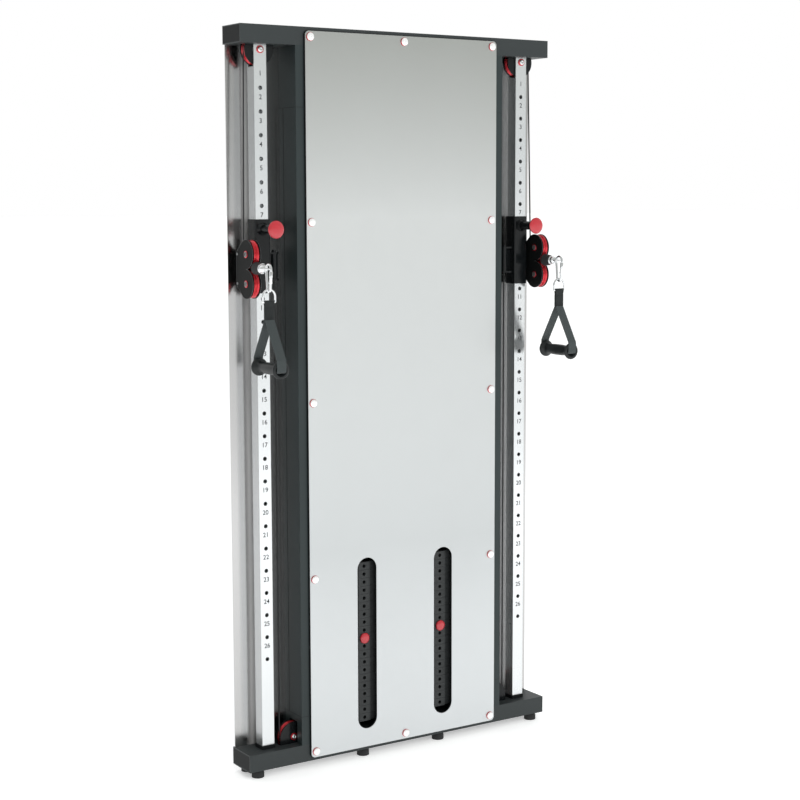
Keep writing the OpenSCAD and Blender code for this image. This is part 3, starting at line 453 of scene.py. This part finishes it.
red_anodised = red_metal("red_anodised", "#C81E2A", "#DC3440", 0.18)
satin_chrome = surface("satin_chrome")
satin_wear = cloud(satin_chrome, 0.004, 3)
satin_chrome.set({"Metallic": 0.55, "Base Color": satin_chrome.mix(satin_wear, shade("#F4F5F6"), shade("#FFFFFF")),
                  "Roughness": 0.24 + 0.1 * satin_wear})
panel_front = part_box("mirror_panel")[0].y
stud_places = []
collar_low, collar_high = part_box("stud_collars")
collar_r = 0.01225
stud_x = collar_high.x - collar_r
stud_low = collar_low.z + collar_r
stud_high = collar_high.z - collar_r
stud_rows = 5
for row in range(stud_rows):
    level = stud_low + row * (stud_high - stud_low) / (stud_rows - 1)
    stud_places += [(-stud_x, level), (stud_x, level)]
stud_places += [(0, stud_low), (0, stud_high)]
collars, caps = [], []
for x, z in stud_places:
    collars.append(turned([(0, 0.0045), (0, 0.01175), (0.0004, collar_r), (0.002, collar_r), (0.0025, 0.0116),
                           (0.0025, 0.0045), (0, 0.0045)], (x, panel_front, z), (0, -1, 0)))
    caps.append(turned([(-0.0135, 0), (-0.0135, 0.004), (0, 0.004), (0, 0.0108), (0.0004, 0.0113),
                        (0.0013, 0.0113), (0.0023, 0.0105), (0.003, 0.0085), (0.0034, 0.0055), (0.0035, 0)],
                       (x, collar_low.y, z), (0, -1, 0)))
make("stud_collar_rings", gathered(collars), red_anodised, "frame", ["stud_collars"])
make("stud_dome_caps", gathered(caps), satin_chrome.owner, "frame", ["stud_caps"])

# Columns
# Square steel tube, chromed over a vertical brushing, drilled with 26 position holes. Plain numbers are
# screened beside the holes in grey ink.
column_chrome = surface("column_chrome")
brushing = cloud(column_chrome, 0.0005, 2, (1.0, 1.0, 0.012))
bloom = cloud(column_chrome, 0.25, 2)
column_chrome.set({"Metallic": 0.86, "Base Color": column_chrome.mix(bloom, shade("#DEE1E3"), shade("#EAECED")),
                   "Roughness": 0.14 + 0.06 * brushing + 0.04 * bloom,
                   "Normal": relief(column_chrome, brushing, 0.000004)})
dress("columns", column_chrome.owner, 0.0011, 3)
number_size = 0.0195
hole_count = 26
hole_top = 2.025
hole_pitch = 0.067
number_rise = 0.0405
column_x = 0.465
column_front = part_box("columns")[0].y
# A thin dark ring round each hole, a hair proud of the tube: painted shade for the hole's chamfer.
rim_shade = surface("hole_rim_painted_shade")
rim_shade_mottle = cloud(rim_shade, 0.002, 2)
rim_shade.set({"Base Color": rim_shade.mix(rim_shade_mottle, shade("#1D1F20"), shade("#3C3F41")), "Roughness": 0.45,
             "Metallic": 0.5})
rims = [turned([(0, 0.005), (0, 0.0062), (0.00012, 0.0061), (0.00012, 0.0051), (0, 0.005)],
               (sign * column_x, column_front, hole_top - place * hole_pitch), (0, -1, 0), 32)
        for sign in (-1, 1) for place in range(hole_count)]
make("hole_rims", gathered(rims), rim_shade.owner, "frame")
ink = surface("grey_ink")
ink_wear = cloud(ink, 0.002, 3)
ink.set({"Base Color": ink.mix(ink_wear, shade("#26292B"), shade("#3A3E41")), "Roughness": 0.5})
for side, sign in (("left", -1), ("right", 1)):
    digits = bmesh.new()
    for number in range(1, hole_count + 1):
        lettering = bpy.data.curves.new("digit", "FONT")
        lettering.body = str(number)
        lettering.size = number_size
        lettering.align_x = "CENTER"
        lettering.align_y = "CENTER"
        lettering.extrude = 0.00008
        lettering.offset = 0.00022
        holder = bpy.data.objects.new("digit", lettering)
        bpy.context.scene.collection.objects.link(holder)
        bpy.context.view_layer.update()
        stamped = bpy.data.meshes.new_from_object(holder.evaluated_get(bpy.context.evaluated_depsgraph_get()))
        bpy.data.objects.remove(holder)
        height = hole_top - (number - 1) * hole_pitch + number_rise
        stamped.transform(Matrix.Translation((sign * column_x, column_front - 0.00008, height))
                          @ Matrix.Rotation(math.pi / 2, 4, "X"))
        digits.from_mesh(stamped)
        bpy.data.meshes.remove(stamped)
    bmesh.ops.remove_doubles(digits, verts=digits.verts, dist=0.0000005)
    make("position_numbers_" + side, digits, ink.owner, "frame")

# Guide rods, bumpers and weight plates
# Chromed round rods with a tie across their tops, black rubber rings under the stacks, and cast plates in
# textured black paint, whose noses show in the panel's slots.
ground_steel = surface("ground_steel")
lathe_lines = cloud(ground_steel, 0.0006, 2, (1.0, 1.0, 0.05))
ground_steel.set({"Metallic": 1.0, "Base Color": ground_steel.mix(lathe_lines, shade("#B9BBBD"), shade("#D6D8DA")),
                  "Roughness": 0.24 + 0.1 * lathe_lines})
dress("guide_rods", ground_steel.owner, 0.0004)
dress("rod_bumpers", rubber.owner, 0.001)
plate_paint = surface("plate_paint")
casting = cloud(plate_paint, 0.003, 4)
rubbed = cloud(plate_paint, 0.03, 3)
plate_paint.set({"Base Color": plate_paint.mix(rubbed, shade("#1F2122"), shade("#2E3132")),
                 "Roughness": 0.42 + 0.2 * casting, "Normal": relief(plate_paint, casting, 0.00015)})
for name in ("lower_plates", "upper_plates_left", "upper_plates_right"):
    dress(name, plate_paint.owner, 0.0012)
for side in ("left", "right"):
    dress("stem_" + side, ground_steel.owner, 0.0003)

# Selector pins
# A red plastic knob with a rounded face on a steel pin, pushed through the nose of the lowest plate lifted.
red_plastic = surface("red_plastic")
flow = cloud(red_plastic, 0.03, 2)
stipple = cloud(red_plastic, 0.0012, 2)
red_plastic.set({"Base Color": red_plastic.mix(flow, shade("#A81B27"), shade("#C02C38")),
                 "Roughness": 0.22 + 0.08 * stipple, "Normal": relief(red_plastic, stipple, 0.00003),
                 "Coat Weight": 0.6, "Coat Roughness": 0.16})
for side in ("left", "right"):
    low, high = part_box("selector_pin_" + side)
    middle = Vector(((low.x + high.x) / 2, low.y, (low.z + high.z) / 2))
    knob = turned([(0, 0), (0.0003, 0.006), (0.0009, 0.0105), (0.0021, 0.0142), (0.0036, 0.016), (0.0052, 0.0165),
                   (0.0072, 0.0163), (0.0077, 0.0155), (0.0077, 0)], middle, (0, 1, 0))
    make("selector_knob_" + side, knob, red_plastic.owner, "selector_pin_" + side,
         ["selector_pin_" + side])
    pin = turned([(0.007, 0), (0.007, 0.005), (high.y - low.y - 0.0015, 0.005), (high.y - low.y, 0.0035),
                  (high.y - low.y, 0)], middle, (0, 1, 0))
    make("selector_shank_" + side, pin, chrome.owner, "selector_pin_" + side)

# Pulleys, guard discs and axle rings
# Pulleys turned from red anodised stock with a round groove, black steel discs beside them that keep the
# cable in, and a red ring under each bolt's head.
black_steel = powder_coat("gloss_black_steel", "#090B0C", "#131618", 0.17, 0.3)
for side in ("left", "right"):
    for place in ("top", "bottom", "beam", "return", "float"):
        dress(f"{place}_pulley_{side}", red_anodised, 0.0006)
    for place in ("upper", "lower"):
        dress(f"block_pulley_{place}_{side}", red_anodised, 0.0006)
dress("pulley_guards", black_steel, 0.0005)
dress("axle_rings", red_anodised, 0.0006)


# Axle bolts
# Chromed button head bolts with a hexagon socket, through the pulleys of the frame.
def button_bolt(place, axis, length, radius, head_radius, head_height):
    """A bolt whose head rises from place against the axis, with its shank along the axis."""
    dome = [(-head_height * math.sin(turn), head_radius * (0.62 + 0.38 * math.cos(turn)))
            for turn in [step * math.pi / 12 for step in range(7)]]
    profile = [(0, radius), (0, head_radius)] + dome[1:]
    profile += [(-head_height, 0.45 * head_radius), (-0.45 * head_height, 0.43 * head_radius),
                (-0.4 * head_height, 0)]
    nut = [(length + 0.005, 0), (length + 0.005, radius + 0.003), (length, radius + 0.003), (length, radius)]
    return turned(nut + profile, place, axis, 36)


top_axle = Vector((column_x, 0, 2.133))
bottom_axle = Vector((0.375, 0, 0.095))
plane = beam_front + 0.0525
axles = ((top_axle.x, top_axle.z, 0.023, 0.043), (bottom_axle.x, bottom_axle.z, 0.017, 0.031),
         (0.14, top_axle.z, 0.017, 0.034), (0.258, 2.03, 0.017, 0.034))
bolts = [button_bolt((sign * x, plane - forward, z), (0, 1, 0), length, 0.005, 0.0085, 0.004)
         for sign in (-1, 1) for x, z, forward, length in axles]
make("axle_button_bolts", gathered(bolts), chrome.owner, "frame", ["axle_bolts"])

# Cables
# Steel cable in a smooth black nylon coat, 4.5 mm thick, held all along by the pulleys. Its two runs beside a
# column get longer and shorter as the carriage slides, and the runs over a stack as the plates rise.
nylon = surface("nylon_coat")
lay = cloud(nylon, 0.004, 2, (1.0, 1.0, 0.4))
nylon.set({"Base Color": nylon.mix(lay, shade("#141516"), shade("#1F2021")), "Roughness": 0.32 + 0.12 * lay,
           "Normal": relief(nylon, lay, 0.00008)})
dress("fixed_cables", nylon.owner)


def run(start, end, radius, parts=24):
    """A straight round run of cable between two points, in short lengths so that it can stretch."""
    start, end = Vector(start), Vector(end)
    length = (end - start).length
    profile = [(0, 0)] + [(length * part / parts, radius) for part in range(parts + 1)] + [(length, 0)]
    return turned(profile, start, end - start, 20)


block_x = 0.518
block_y = beam_front + 0.009
block_r = 0.0385
upper_z = 1.5525
lower_z = 1.4675
cable_z = upper_z - block_r
cable_r = 0.00225
anchor_x = 0.4165
anchor_z = 1.4735
for side, sign in (("left", -1), ("right", 1)):
    low_end = (sign * block_x, block_y + block_r, upper_z)
    high_end = (sign * (column_x + 0.0425), plane, top_axle.z)
    outer = make("outer_run_" + side, run(low_end, high_end, cable_r), nylon.owner, None,
                 ["outer_cable_" + side])
    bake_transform(outer)
    low_end = (sign * anchor_x, plane, bottom_axle.z)
    high_end = (sign * anchor_x, plane, anchor_z)
    inner = make("inner_run_" + side, run(low_end, high_end, cable_r), nylon.owner, None,
                 ["inner_cable_" + side])
    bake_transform(inner)
    lift_low, lift_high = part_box("lift_cables_" + side)
    pair = []
    for x in (0.0975, 0.1825):
        pair.append(run((sign * x, plane, lift_low.z - 0.0003), (sign * x, plane, lift_high.z + 0.0003), cable_r))
    lifting = make("lift_runs_" + side, gathered(pair), nylon.owner, None, ["lift_cables_" + side])
    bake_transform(lifting)

# Carriages
# A welded sleeve of black coated steel that slides on the column, with the pop pin's barrel in front, the
# cable's anchor on its inner side and the bridge to the pulley block outside.
for side in ("left", "right"):
    dress("carriage_" + side, black_steel, 0.0009, 3)

# Pop pins
# A spring pin with a large red plastic knob: a cone that flares to a broad domed face, with a bright ring at
# its neck.
for side in ("left", "right"):
    low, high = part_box("pop_pin_" + side)
    middle = Vector(((low.x + high.x) / 2, low.y, (low.z + high.z) / 2))
    reach = high.y - low.y
    knob = turned([(0, 0), (0.0003, 0.007), (0.001, 0.0132), (0.0022, 0.0186), (0.0038, 0.0222), (0.0056, 0.0244),
                   (0.0074, 0.0254), (0.0092, 0.0252), (0.0106, 0.0242), (0.0124, 0.0218), (0.0152, 0.0178),
                   (0.0192, 0.0147), (0.0196, 0.013), (0.0196, 0)], middle, (0, 1, 0), 64)
    make("pop_knob_" + side, knob, red_plastic.owner, "pop_pin_" + side, ["pop_pin_" + side])
    ring = turned([(0.0195, 0), (0.0195, 0.0142), (0.02, 0.0147), (0.0222, 0.0147), (0.0227, 0.0142),
                   (0.0227, 0.0045), (reach - 0.0015, 0.0045), (reach, 0.0045), (reach, 0)],
                  middle, (0, 1, 0), 48)
    make("pop_shank_" + side, ring, chrome.owner, "pop_pin_" + side)

# Pulley blocks
# Two B-shaped plates of black steel with a thin bright edge, partly the bare steel of its chamfer and partly a
# painted highlight, screwed to a spacer at the rear, and two pulleys between them on steel bolts with red washers.
plate_black = powder_coat("plate_black", "#090A0A", "#101212", 0.55, 0.14)
steel_and_edge_highlight = surface("steel_and_edge_highlight")
cutter = cloud(steel_and_edge_highlight, 0.002, 2)
steel_and_edge_highlight.set({"Metallic": 0.8, "Base Color": steel_and_edge_highlight.mix(cutter, shade("#6A6C6D"), shade("#969899")),
               "Roughness": 0.32 + 0.1 * cutter})
half_block = 0.013


def bent_bar(points, radius, closed, smooth=True, around=6):
    """Round bar along a path, as a mesh."""
    path = bpy.data.curves.new("bar", "CURVE")
    path.dimensions = "3D"
    path.bevel_depth = radius
    path.bevel_resolution = around
    path.resolution_u = 8
    path.use_fill_caps = True
    spline = path.splines.new("BEZIER" if smooth else "POLY")
    if smooth:
        spline.bezier_points.add(len(points) - 1)
        for knot, point in zip(spline.bezier_points, points):
            knot.co = point
            knot.handle_left_type = knot.handle_right_type = "AUTO"
    else:
        spline.points.add(len(points) - 1)
        for knot, point in zip(spline.points, points):
            knot.co = (*point, 1)
    spline.use_cyclic_u = closed
    holder = bpy.data.objects.new("bar", path)
    bpy.context.scene.collection.objects.link(holder)
    bpy.context.view_layer.update()
    mesh = bpy.data.meshes.new_from_object(holder.evaluated_get(bpy.context.evaluated_depsgraph_get()))
    bpy.data.objects.remove(holder)
    shape = bmesh.new()
    shape.from_mesh(mesh)
    bpy.data.meshes.remove(mesh)
    bmesh.ops.remove_doubles(shape, verts=shape.verts, dist=0.000001)
    bmesh.ops.recalc_face_normals(shape, faces=shape.faces)
    return shape


lobe_r = 0.042
rear_reach = 0.059
rear_half = 0.0465
half_span = (upper_z - lower_z) / 2
block_z = (upper_z + lower_z) / 2
rear_rise = rear_half - half_span
lean = math.acos(lobe_r / math.hypot(rear_reach, rear_rise)) + math.atan2(rear_rise, rear_reach)
upper_edge = [(rear_reach, rear_half)]
for step in range(25):
    angle = lean + (math.pi * 1.5 - lean) * step / 24
    upper_edge.append((lobe_r * math.cos(angle), half_span + lobe_r * math.sin(angle)))
outline = upper_edge + [(y, -z) for y, z in upper_edge[::-1]]
for side in ("left", "right"):
    dress("block_" + side, plate_black, 0.0005)
    # Thin bright bars along each plate's outline: bare steel of the chamfer and partly a painted highlight.
    edges = []
    for x in (block_x - half_block, block_x + half_block):
        edges.append(bent_bar([(x, block_y + y, block_z + z) for y, z in outline], 0.0003, True, False, 1))
    make("block_chamfer_highlights_" + side, handed(gathered(edges), side), steel_and_edge_highlight.owner, "carriage_" + side)
    heads, washers = [], []
    for z in (upper_z, lower_z):
        for face in (-1, 1):
            outside = Vector((block_x + face * half_block, block_y, z))
            heads.append(turned([(-0.0135, 0), (-0.0135, 0.0049), (0, 0.0049), (0.0008, 0.0049),
                                 (0.0008, 0.0074), (0.0012, 0.008), (0.0028, 0.0078), (0.0033, 0.0068),
                                 (0.0035, 0.0045), (0.002, 0.0042), (0.0018, 0)], outside, (face, 0, 0), 40))
            washers.append(turned([(0, 0.0051), (0, 0.0103), (0.0004, 0.0105), (0.0012, 0.0105), (0.0016, 0.01),
                                   (0.0016, 0.0081), (0.0008, 0.0081), (0.0008, 0.0051), (0, 0.0051)],
                                  outside, (face, 0, 0), 40))
    for z in (upper_z, lower_z):
        outside = Vector((block_x + half_block, block_y + 0.053, z))
        heads.append(turned([(-0.026, 0), (-0.026, 0.003), (0, 0.003), (0, 0.0038), (0.0004, 0.0041),
                             (0.0011, 0.0038), (0.0015, 0.0031), (0.0015, 0.0019), (0.0008, 0.0017),
                             (0.0008, 0)], outside, (1, 0, 0), 28))
    make("block_heads_" + side, handed(gathered(heads), side), steel_and_edge_highlight.owner, "carriage_" + side,
         ["block_bolts_" + side])
    make("block_washers_" + side, handed(gathered(washers), side), red_anodised, "carriage_" + side)


# Cable stops
# The cable leaves the block through a rubber stop with a bright ring at its mouth, and ends in a chrome ball with
# a welded eye.
stop_front = beam_front - 0.065
stop_back = block_y - 0.039
hook_y = beam_front - 0.102
ball_y = stop_front - 0.0065
ball_r = 0.013
eye_bar = 0.003
eye_radius = (ball_y - ball_r - hook_y + eye_bar) / 2
for side in ("left", "right"):
    length = stop_back - stop_front
    rubber_cone = [(0, 0), (0, 0.0105), (0.0002, 0.0143), (0.001, 0.015)]
    rubber_cone += [(length * part / 8, 0.015 + 0.0035 * part / 8) for part in range(1, 8)]
    rubber_cone += [(length - 0.001, 0.0185), (length, 0.0175), (length + 0.007, 0.011), (length + 0.014, 0.0028),
                    (length + 0.014, 0)]
    stop = turned(rubber_cone, (block_x, stop_front, cable_z), (0, 1, 0))
    make("rubber_stop_" + side, handed(stop, side), rubber.owner, "carriage_" + side,
         ["cable_stop_" + side])
    bend = [(block_x, block_y + block_r * math.sin(turn), upper_z - block_r * math.cos(turn))
            for turn in [step * math.pi / 24 for step in range(13)]]
    end_length = [(block_x, stop_front + 0.002, cable_z), (block_x, stop_back, cable_z)] + bend
    make("cable_end_" + side, handed(bent_bar(end_length, cable_r, False, False), side), nylon.owner,
         "carriage_" + side)
    ball = turned([(ball_r - ball_r * math.cos(step * math.pi / 24), ball_r * math.sin(step * math.pi / 24))
                   for step in range(25)], (block_x, ball_y - ball_r, cable_z), (0, 1, 0), 48)
    turns = 32
    eye = bent_bar([(block_x + eye_radius * math.cos(2 * math.pi * step / turns),
                     hook_y + eye_radius + eye_radius * math.sin(2 * math.pi * step / turns), cable_z)
                    for step in range(turns)], eye_bar, True)
    mouth_ring = turned([(0, 0.011), (0, 0.0142), (0.0006, 0.0148), (0.0028, 0.015), (0.0034, 0.0146),
                         (0.0034, 0.011), (0, 0.011)], (block_x, stop_front - 0.0011, cable_z), (0, 1, 0), 48)
    make("cable_ball_" + side, handed(gathered([ball, eye, mouth_ring]), side), chrome.owner, "carriage_" + side)

# Carabiners and D-rings
# A pear-shaped snap hook of chromed bar with a spring gate hangs on the ball's eye, and a welded D-ring hangs in
# the hook.
hook_top = cable_z + 0.0165
hook_bar = 0.0035
hook_height = 0.084
hook_wide = 0.0135
hook_narrow = 0.0088
ring_bar = 0.003
ring_height = 0.042
ring_r = 0.0195
ring_top = hook_top - hook_height + 0.0133
low_turn = hook_top - hook_height + hook_bar + hook_narrow
hook_side = [(hook_narrow * math.sin(turn), low_turn - hook_narrow * math.cos(turn))
             for turn in [math.pi * step / 12 for step in range(7)]]
hook_side += [(0.0098, low_turn + 0.013), (0.0118, low_turn + 0.03), (hook_wide, hook_top - 0.025)]
hook_side += [(hook_wide * math.cos(turn), hook_top - hook_bar - hook_wide * (1 - math.sin(turn)))
              for turn in [math.pi * step / 16 for step in range(9)]]
hook_outline = hook_side + [(-y, z) for y, z in hook_side[::-1][1:-1]]
for side in ("left", "right"):
    hook = bent_bar([(block_x, hook_y + y, z) for y, z in hook_outline], hook_bar, True)
    gate_high = Vector((block_x, hook_y - hook_wide, hook_top - 0.0225))
    gate_low = Vector((block_x, hook_y - 0.0104, low_turn + 0.014))
    gate_length = (gate_high - gate_low).length
    gate = turned([(0, 0), (0, 0.0036), (0.001, 0.0042), (gate_length - 0.0185, 0.0042),
                   (gate_length - 0.0178, 0.005), (gate_length - 0.0012, 0.0052), (gate_length, 0.0044),
                   (gate_length, 0)], gate_low, gate_high - gate_low, 32)
    pivot = turned([(0, 0), (0, 0.0019), (0.0004, 0.0023), (0.0104, 0.0023), (0.0108, 0.0019), (0.0108, 0)],
                   gate_low + Vector((-0.0054, 0.0003, 0.003)), (1, 0, 0), 24)
    legs = ring_height - 2 * ring_bar - ring_r
    ring_middle = ring_top - ring_bar - ring_r
    bow = [(ring_r * math.cos(turn), ring_middle + ring_r * math.sin(turn))
           for turn in [math.pi * step / 14 for step in range(15)]]
    bow += [(-ring_r, ring_middle - legs * part) for part in (0.35, 0.7, 0.9)]
    bow += [(-ring_r + 0.0016, ring_middle - legs + 0.0002)]
    bow += [(ring_r * part, ring_middle - legs) for part in (-0.8, -0.4, 0, 0.4, 0.8)]
    bow += [(ring_r - 0.0016, ring_middle - legs + 0.0002)]
    bow += [(ring_r, ring_middle - legs * part) for part in (0.9, 0.7, 0.35)]
    ring = bent_bar([(block_x + x, hook_y, z) for x, z in bow], ring_bar, True)
    make("snap_hook_" + side, handed(gathered([hook, gate, pivot, ring]), side), chrome.owner, "handle_" + side,
         ["carabiner_" + side])

# Handle straps
# One length of black polypropylene webbing, 30 mm wide: folded round the D-ring's bar, sewn together in a
# sleeve below it, and led down both ends of the grip and through its bore.

def woven(name, low, high):
    """Ribbed black webbing, whose weave follows the strip's own map."""
    webbing = surface(name)
    strip_map = webbing.node("UVMap", {"uv_map": "strip"}, {})
    across = webbing.node("SeparateXYZ", {}, {"Vector": strip_map}, "X")
    along = webbing.node("SeparateXYZ", {}, {"Vector": strip_map}, "Y")
    rib = webbing.node("Math", {"operation": "SINE"}, {0: across * (2 * math.pi / 0.0021)})
    pick = webbing.node("Math", {"operation": "SINE"}, {0: along * (2 * math.pi / 0.0016) + 1.6 * rib})
    yarn = 0.5 + 0.25 * rib + 0.25 * pick
    fuzz = cloud(webbing, 0.0007, 2)
    webbing.set({"Base Color": webbing.mix(0.7 * yarn + 0.3 * fuzz, shade(low), shade(high)),
                 "Roughness": 0.66 + 0.16 * fuzz, "Normal": relief(webbing, yarn, 0.0004),
                 "Sheen Weight": 0.12, "Sheen Roughness": 0.5, "Specular IOR Level": 0.3})
    return webbing.owner


black_webbing = woven("black_webbing", "#1F2425", "#4E5556")
# A darker copy of the webbing for the fold round the D-ring and the sleeve: painted shade.
fold_webbing_painted_shade = woven("fold_webbing_painted_shade", "#0F1212", "#2A2E2F")
thread = surface("sewing_thread")
twist = cloud(thread, 0.0006, 2)
thread.set({"Base Color": thread.mix(twist, shade("#0C0E0E"), shade("#191B1C")), "Roughness": 0.8})
strap_half = 0.015
bore_half = 0.0082
strap_thick = 0.0026
ring_bar_z = ring_top - ring_height + ring_bar
fold_low = ring_bar_z - ring_bar - 0.046
grip_low, grip_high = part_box("grip_right")
grip_z = (grip_low.z + grip_high.z) / 2
grip_half = (grip_high.y - grip_low.y) / 2


def strip(points, half_widths, thickness):
    """A closed band of webbing along a path in the YZ plane, with rounded edges and its own map in metres."""
    shape = bmesh.new()
    chart = shape.loops.layers.uv.new("strip")
    section = [(-1, -0.4), (-0.975, -1), (-0.5, -1), (0, -1), (0.5, -1), (0.975, -1), (1, -0.4),
               (1, 0.4), (0.975, 1), (0.5, 1), (0, 1), (-0.5, 1), (-0.975, 1), (-1, 0.4)]
    travelled = 0.0
    rows = []
    for place, ((y, z), half) in enumerate(zip(points, half_widths)):
        before, after = points[place - 1], points[(place + 1) % len(points)]
        tangent = Vector((after[0] - before[0], after[1] - before[1])).normalized()
        if place:
            travelled += math.dist((y, z), before)
        row = [shape.verts.new((block_x + half * across, hook_y + y - tangent.y * thickness / 2 * out,
                                z + tangent.x * thickness / 2 * out)) for across, out in section]
        rows.append((row, travelled, half))
    rows.append((rows[0][0], travelled + math.dist(points[-1], points[0]), half_widths[0]))
    for (row, start, half), (next_row, stop, next_half) in zip(rows, rows[1:]):
        for place in range(len(section)):
            other = (place + 1) % len(section)
            face = shape.faces.new((row[place], row[other], next_row[other], next_row[place]))
            corners = ((place, start, half), (other, start, half),
                       (other, stop, next_half), (place, stop, next_half))
            for loop, (column, distance, width) in zip(face.loops, corners):
                loop[chart].uv = (width * section[column][0], distance)
    bmesh.ops.recalc_face_normals(shape, faces=shape.faces)
    return shape


for side in ("left", "right"):
    wrap = ring_bar + 0.0003 + strap_thick / 2
    side_path = [(wrap * math.sin(angle), ring_bar_z + wrap * math.cos(angle))
                 for angle in [math.pi * step / 12 for step in range(8)]]
    gap = strap_thick / 2 + 0.0002
    side_path += [(gap + 0.0008, ring_bar_z - 0.0115), (gap, ring_bar_z - 0.018), (gap, ring_bar_z - 0.03),
                  (gap, fold_low + 0.004), (gap + 0.0002, fold_low)]
    outside = grip_half + 0.0004 + strap_thick / 2
    knee = (outside - 0.0012, grip_z + 0.0292)
    for part in range(1, 14):
        side_path.append((gap + (knee[0] - gap) * part / 14, fold_low + (knee[1] - fold_low) * part / 14))
    side_path += [knee, (outside - 0.0002, grip_z + 0.0245), (outside, grip_z + 0.021), (outside, grip_z + 0.014),
                  (outside, grip_z + 0.007), (outside, grip_z + 0.001), (outside - 0.0004, grip_z - 0.0022),
                  (outside - 0.0018, grip_z - 0.0052), (outside - 0.0042, grip_z - 0.0072),
                  (outside - 0.0075, grip_z - 0.0079), (outside - 0.013, grip_z - 0.0075),
                  (outside - 0.02, grip_z - 0.0065), (outside - 0.035, grip_z - 0.006), (0.015, grip_z - 0.006)]
    full = [(-y, z) for y, z in side_path[::-1][:-1]] + side_path
    widths = []
    for y, z in full:
        inward = min(1.0, max(0.0, (outside - 0.002 - abs(y)) / 0.014)) if z < grip_z + 0.015 else 0.0
        widths.append(strap_half + (bore_half - strap_half) * inward)
    band = make("webbing_strap_" + side, handed(strip(full, widths, strap_thick), side), black_webbing,
                "handle_" + side, ["strap_" + side], sharp=40)
    # Faces above the sleeve's lower edge take the darker copy, painted shade.
    band.data.materials.append(fold_webbing_painted_shade)
    for face in band.data.polygons:
        face.material_index = 1 if face.center.z > fold_low + 0.001 else 0
    sleeve_gap = gap + strap_thick / 2 + 0.0002
    sleeve_low, sleeve_high = fold_low - 0.0006, ring_bar_z - 0.0135
    sleeve = [(sleeve_gap, sleeve_low + (sleeve_high - sleeve_low) * part / 6) for part in range(7)]
    sleeve += [(-y, z) for y, z in sleeve[::-1]]
    make("strap_sleeve_" + side, handed(strip(sleeve, [strap_half + 0.0004] * len(sleeve), 0.0008), side),
         fold_webbing_painted_shade, "handle_" + side, sharp=40)
    stitches = []
    for face in (-1, 1):
        depth = hook_y + face * (sleeve_gap + 0.0004)
        # This strip across the whole width at the sleeve's lower edge is a bar of stitching and also a dark line
        # of painted shade where the outer layer ends.
        stitches.append(slab((block_x - 0.0147, depth - 0.0004, fold_low - 0.0005),
                             (block_x + 0.0147, depth + 0.0004, fold_low + 0.0007), 0.0001))
        for row in (0.004, 0.0065, 0.033):
            for place in range(9):
                x = block_x - 0.0128 + place * 0.0029
                stitches.append(slab((x, depth - 0.00035, fold_low + row - 0.00035),
                                     (x + 0.0021, depth + 0.00035, fold_low + row + 0.00035), 0.0001))
    make("strap_stitches_" + side, handed(gathered(stitches), side), thread.owner, "handle_" + side)

# Grips
# A hollow grip of moulded black plastic, swollen in the middle, with rounded flanges like cups at both ends.
grip_plastic = surface("grip_plastic")
leather_grain = cloud(grip_plastic, 0.0015, 3)
grip_plastic.set({"Base Color": grip_plastic.mix(leather_grain, shade("#111415"), shade("#1C2021")),
                  "Roughness": 0.34 + 0.12 * leather_grain, "Specular IOR Level": 0.4,
                  "Normal": relief(grip_plastic, leather_grain, 0.00012)})
flange = [(0, 0.018), (0, 0.0222), (0.0006, 0.024), (0.002, 0.0253), (0.004, 0.0258), (0.0062, 0.0256),
          (0.008, 0.0246), (0.0098, 0.0218), (0.012, 0.0178), (0.0155, 0.0156), (0.02, 0.015), (0.03, 0.0155)]
grip_outer = [(inset - grip_half, radius) for inset, radius in flange] + [(-0.022, 0.0168), (0, 0.0171)]
grip_mouth = [(inset - grip_half, radius)
              for inset, radius in ((0.014, 0.011), (0.01, 0.0118), (0.005, 0.0148), (0.001, 0.0176))]
grip_profile = grip_outer + [(-reach, radius) for reach, radius in grip_outer[::-1][1:]]
grip_profile += [(-reach, radius) for reach, radius in grip_mouth[::-1]] + grip_mouth + grip_outer[:1]
for side in ("left", "right"):
    body = turned(grip_profile, (block_x, hook_y, grip_z), (0, 1, 0), 64)
    make("hand_grip_" + side, handed(body, side), grip_plastic.owner, "grip_" + side,
         ["grip_" + side])
